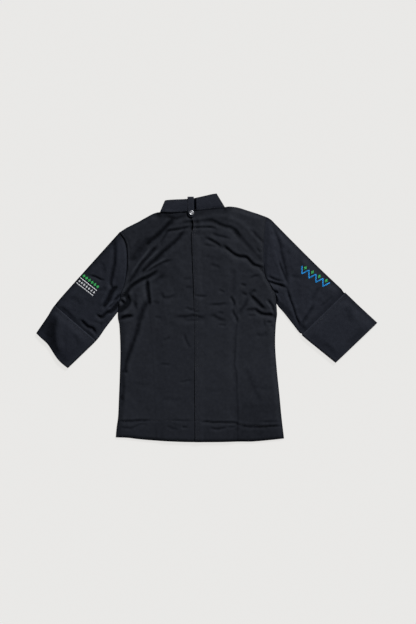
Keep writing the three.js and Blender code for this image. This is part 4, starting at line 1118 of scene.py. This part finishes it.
def sew_back(half):
    side = half["side"]
    x = np.arange(-284, -40, 1.5) if half is LEFT else np.arange(-30, 240, 1.5)
    armhole_y = np.arange(half["underarm"] + 12, half["shoulder"] - 4, 1.5)
    lines = [(x, read(HEM_LINE, "x", "y", x))]
    lines.append((side_x(half, armhole_y) - half["outward"] * 6.5, armhole_y))
    if half is RIGHT:
        for inset, end_y in ((2.2, 334), (10, 296)):
            y = np.arange(-388, end_y, 1.5)
            lines.append((back_edge_x(y) + inset, y))
        x = np.arange(-36, -7, 1.5)
        lines += [(x, VENT_TOP + offset + 0 * x) for offset in (0, 2.4)]
    sew(f"{side}_back_topstitch", [(x, y, back_shape(half, x, y)[0]) for x, y in lines])


def sew_cuff(arm):
    across = np.linspace(0.03, 0.97, 140)
    line = cuff_shape(arm, across, arm["cuff_edge"] + 0.05 + 0 * across)[:3]
    sew(f"{arm['side']}_cuff_topstitch", [line])


def sew_collar():
    u, v = np.linspace(0.03, 0.97, 200), np.linspace(0.05, 0.87, 60)
    lines = [(u, 0.875 + 0 * u), (0.025 + 0 * v, v), (0.975 + 0 * v, v), (u, 0.09 + 0 * u)]
    sew("collar_topstitch", [collar_shape(*line)[:3] for line in lines])


def sew_tab():
    s = np.linspace(29, 80, 84)
    sew("tab_topstitch", [tab_line(s, share + 0 * s).T for share in (-0.77, 0.77)], 0.5)


# Bands of satin stitch on the sleeves

def sleeve_height(arm, x, y):
    """Height of the upper sleeve at places given by x and y, found by a few steps of Newton's method."""
    across, ring, step = 0 * x + 0.3, 0 * x + 0.5, 0.002
    for _ in range(8):
        x0, y0, z, _ = sleeve_shape(arm, across, ring)
        xa, ya, _, _ = sleeve_shape(arm, across + step, ring)
        xr, yr, _, _ = sleeve_shape(arm, across, ring + step)
        ax, ay, rx, ry = xa - x0, ya - y0, xr - x0, yr - y0
        off_x, off_y = x - x0, y - y0
        size = ax * ry - ay * rx
        across = np.clip(across + step * (off_x * ry - off_y * rx) / size, 0.01, 0.99)
        ring = np.clip(ring + step * (off_y * ax - off_x * ay) / size, 0.01, 0.99)
    return sleeve_shape(arm, across, ring)[2]


def on_sleeve(arm, s, t):
    """A place on a sleeve: s runs along its band and t down from the band's middle line."""
    band = arm["band"]
    turn = math.radians(band["turn"])
    x = band["x"] + s * math.cos(turn) + t * math.sin(turn)
    y = band["y"] + s * math.sin(turn) - t * math.cos(turn)
    return np.stack([x, y, sleeve_height(arm, x, y) + 0.15], axis=-1)


def diamond(centre, width, height):
    """Threads across a diamond."""
    count = int(height / SATIN["pitch"])
    t = np.linspace(-height / 2, height / 2, count + 2)[1:-1]
    reach = width / 2 * (1 - np.abs(t) / (height / 2))
    return [(centre[0] - r, centre[1] + k, centre[0] + r, centre[1] + k) for r, k in zip(reach, t)]


def bar(start, end, width):
    """Threads set slantwise across a straight bar."""
    length = math.hypot(end[0] - start[0], end[1] - start[1])
    dx, dy = (end[0] - start[0]) / length, (end[1] - start[1]) / length
    made = []
    for k in np.arange(0, length, SATIN["pitch"]):
        x, y = start[0] + dx * k, start[1] + dy * k
        nx, ny = (-dy + dx * 0.35) * width / 2, (dx + dy * 0.35) * width / 2
        made.append((x - nx, y - ny, x + nx, y + ny))
    return made


def satin(arm, colour, strokes, material):
    s0, t0, s1, t1 = np.array(strokes).T
    name = f"{arm['side']}_sleeve_{colour}_band"
    threads(name, on_sleeve(arm, s0, t0), on_sleeve(arm, s1, t1), SATIN, material)


def left_band():
    """A border: a row of green diamonds between broken white lines, and a row of small white diamonds."""
    green, white = [], []
    for n in range(6):
        green += diamond((6 + 11.2 * n, 0), 10.8, 12.6)
    for n in range(9):
        for t in (11.6, 31.6):
            white += bar((1 + 7.6 * n, t), (6.8 + 7.6 * n, t), 3.6)
    for n in range(7):
        white += diamond((5 + 9.8 * n, 21.6), 8, 9)
    satin(LEFT_ARM, "green", green, GREEN_THREAD)
    satin(LEFT_ARM, "white", white, WHITE_THREAD)


def right_band():
    """A border: a blue zigzag with small green diamonds in its upper angles."""
    blue, green = [], []
    width, rise = 26.0, 11.0
    for n in range(4):
        left, peak, right = width * n, width * (n + 0.5), width * (n + 1)
        blue += bar((left, -rise), (peak, rise), 4.4) + bar((peak, rise), (right, -rise), 4.4)
        green += diamond((peak, -rise), 11.5, 14)
    satin(RIGHT_ARM, "blue", blue, BLUE_THREAD)
    satin(RIGHT_ARM, "green", green, GREEN_THREAD)


# The stage

CAMERA_HEIGHT = 3000.0
VIEW_CENTRE = (4.0, 18.4)
VIEW_HEIGHT = 1996.8  # what the photograph's long side shows
SENSOR = 36.0
FLOOR_REACH = 30000.0
FLOOR_DROP = 0.3


def make_camera():
    data = bpy.data.cameras.new("camera")
    data.sensor_width = SENSOR
    data.lens = SENSOR * CAMERA_HEIGHT / VIEW_HEIGHT
    data.clip_end = 50
    camera = bpy.data.objects.new("camera", data)
    camera.location = (VIEW_CENTRE[0] * MM, VIEW_CENTRE[1] * MM, CAMERA_HEIGHT * MM)
    bpy.context.scene.collection.objects.link(camera)
    bpy.context.scene.camera = camera


def make_floor():
    material = Nodes("pale_floor").look(
        Base_Color=(0.1, 0.1, 0.1, 1),
        Roughness=0.9,
        Specular_IOR_Level=0.0,
        Emission_Color=(1.0, 0.99, 0.97, 1),
        Emission_Strength=0.745,
    )
    mesh = bpy.data.meshes.new("floor")
    corners = [(-1, -1), (1, -1), (1, 1), (-1, 1)]
    points = [(x * FLOOR_REACH * MM, y * FLOOR_REACH * MM, -FLOOR_DROP * MM) for x, y in corners]
    mesh.from_pydata(points, [], [(0, 1, 2, 3)])
    mesh.materials.append(material)
    floor = bpy.data.objects.new("floor", mesh)
    bpy.context.scene.collection.objects.link(floor)


def make_lights():
    sun = bpy.data.lights.new("key", "SUN")
    sun.energy = 4.2
    sun.angle = math.radians(12)
    key = bpy.data.objects.new("key", sun)
    azimuth, elevation = math.radians(60), math.radians(27)
    key.rotation_euler = (math.pi / 2 - elevation, 0, azimuth + math.pi / 2)
    bpy.context.scene.collection.objects.link(key)
    world = bpy.data.worlds.new("studio")
    world.use_nodes = True
    background = world.node_tree.nodes["Background"]
    background.inputs["Color"].default_value = (0.93, 0.96, 1.0, 1)
    background.inputs["Strength"].default_value = 0.14
    bpy.context.scene.world = world
    bpy.context.scene.view_settings.view_transform = "Standard"


def colour_front_studs():
    for name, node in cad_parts.items():
        if name.startswith("front_stud"):
            node.data.materials.clear()
            node.data.materials.append(METAL)


make_camera()
make_floor()
make_lights()
for arm in (LEFT_ARM, RIGHT_ARM):
    make_sleeve(arm)
    make_cuff(arm)
    sew_cuff(arm)
for half in (LEFT, RIGHT):
    make_back(half)
    make_front(half)
    sew_back(half)
make_collar()
sew_collar()
make_tab()
sew_tab()
make_stud()
left_band()
right_band()
colour_front_studs()
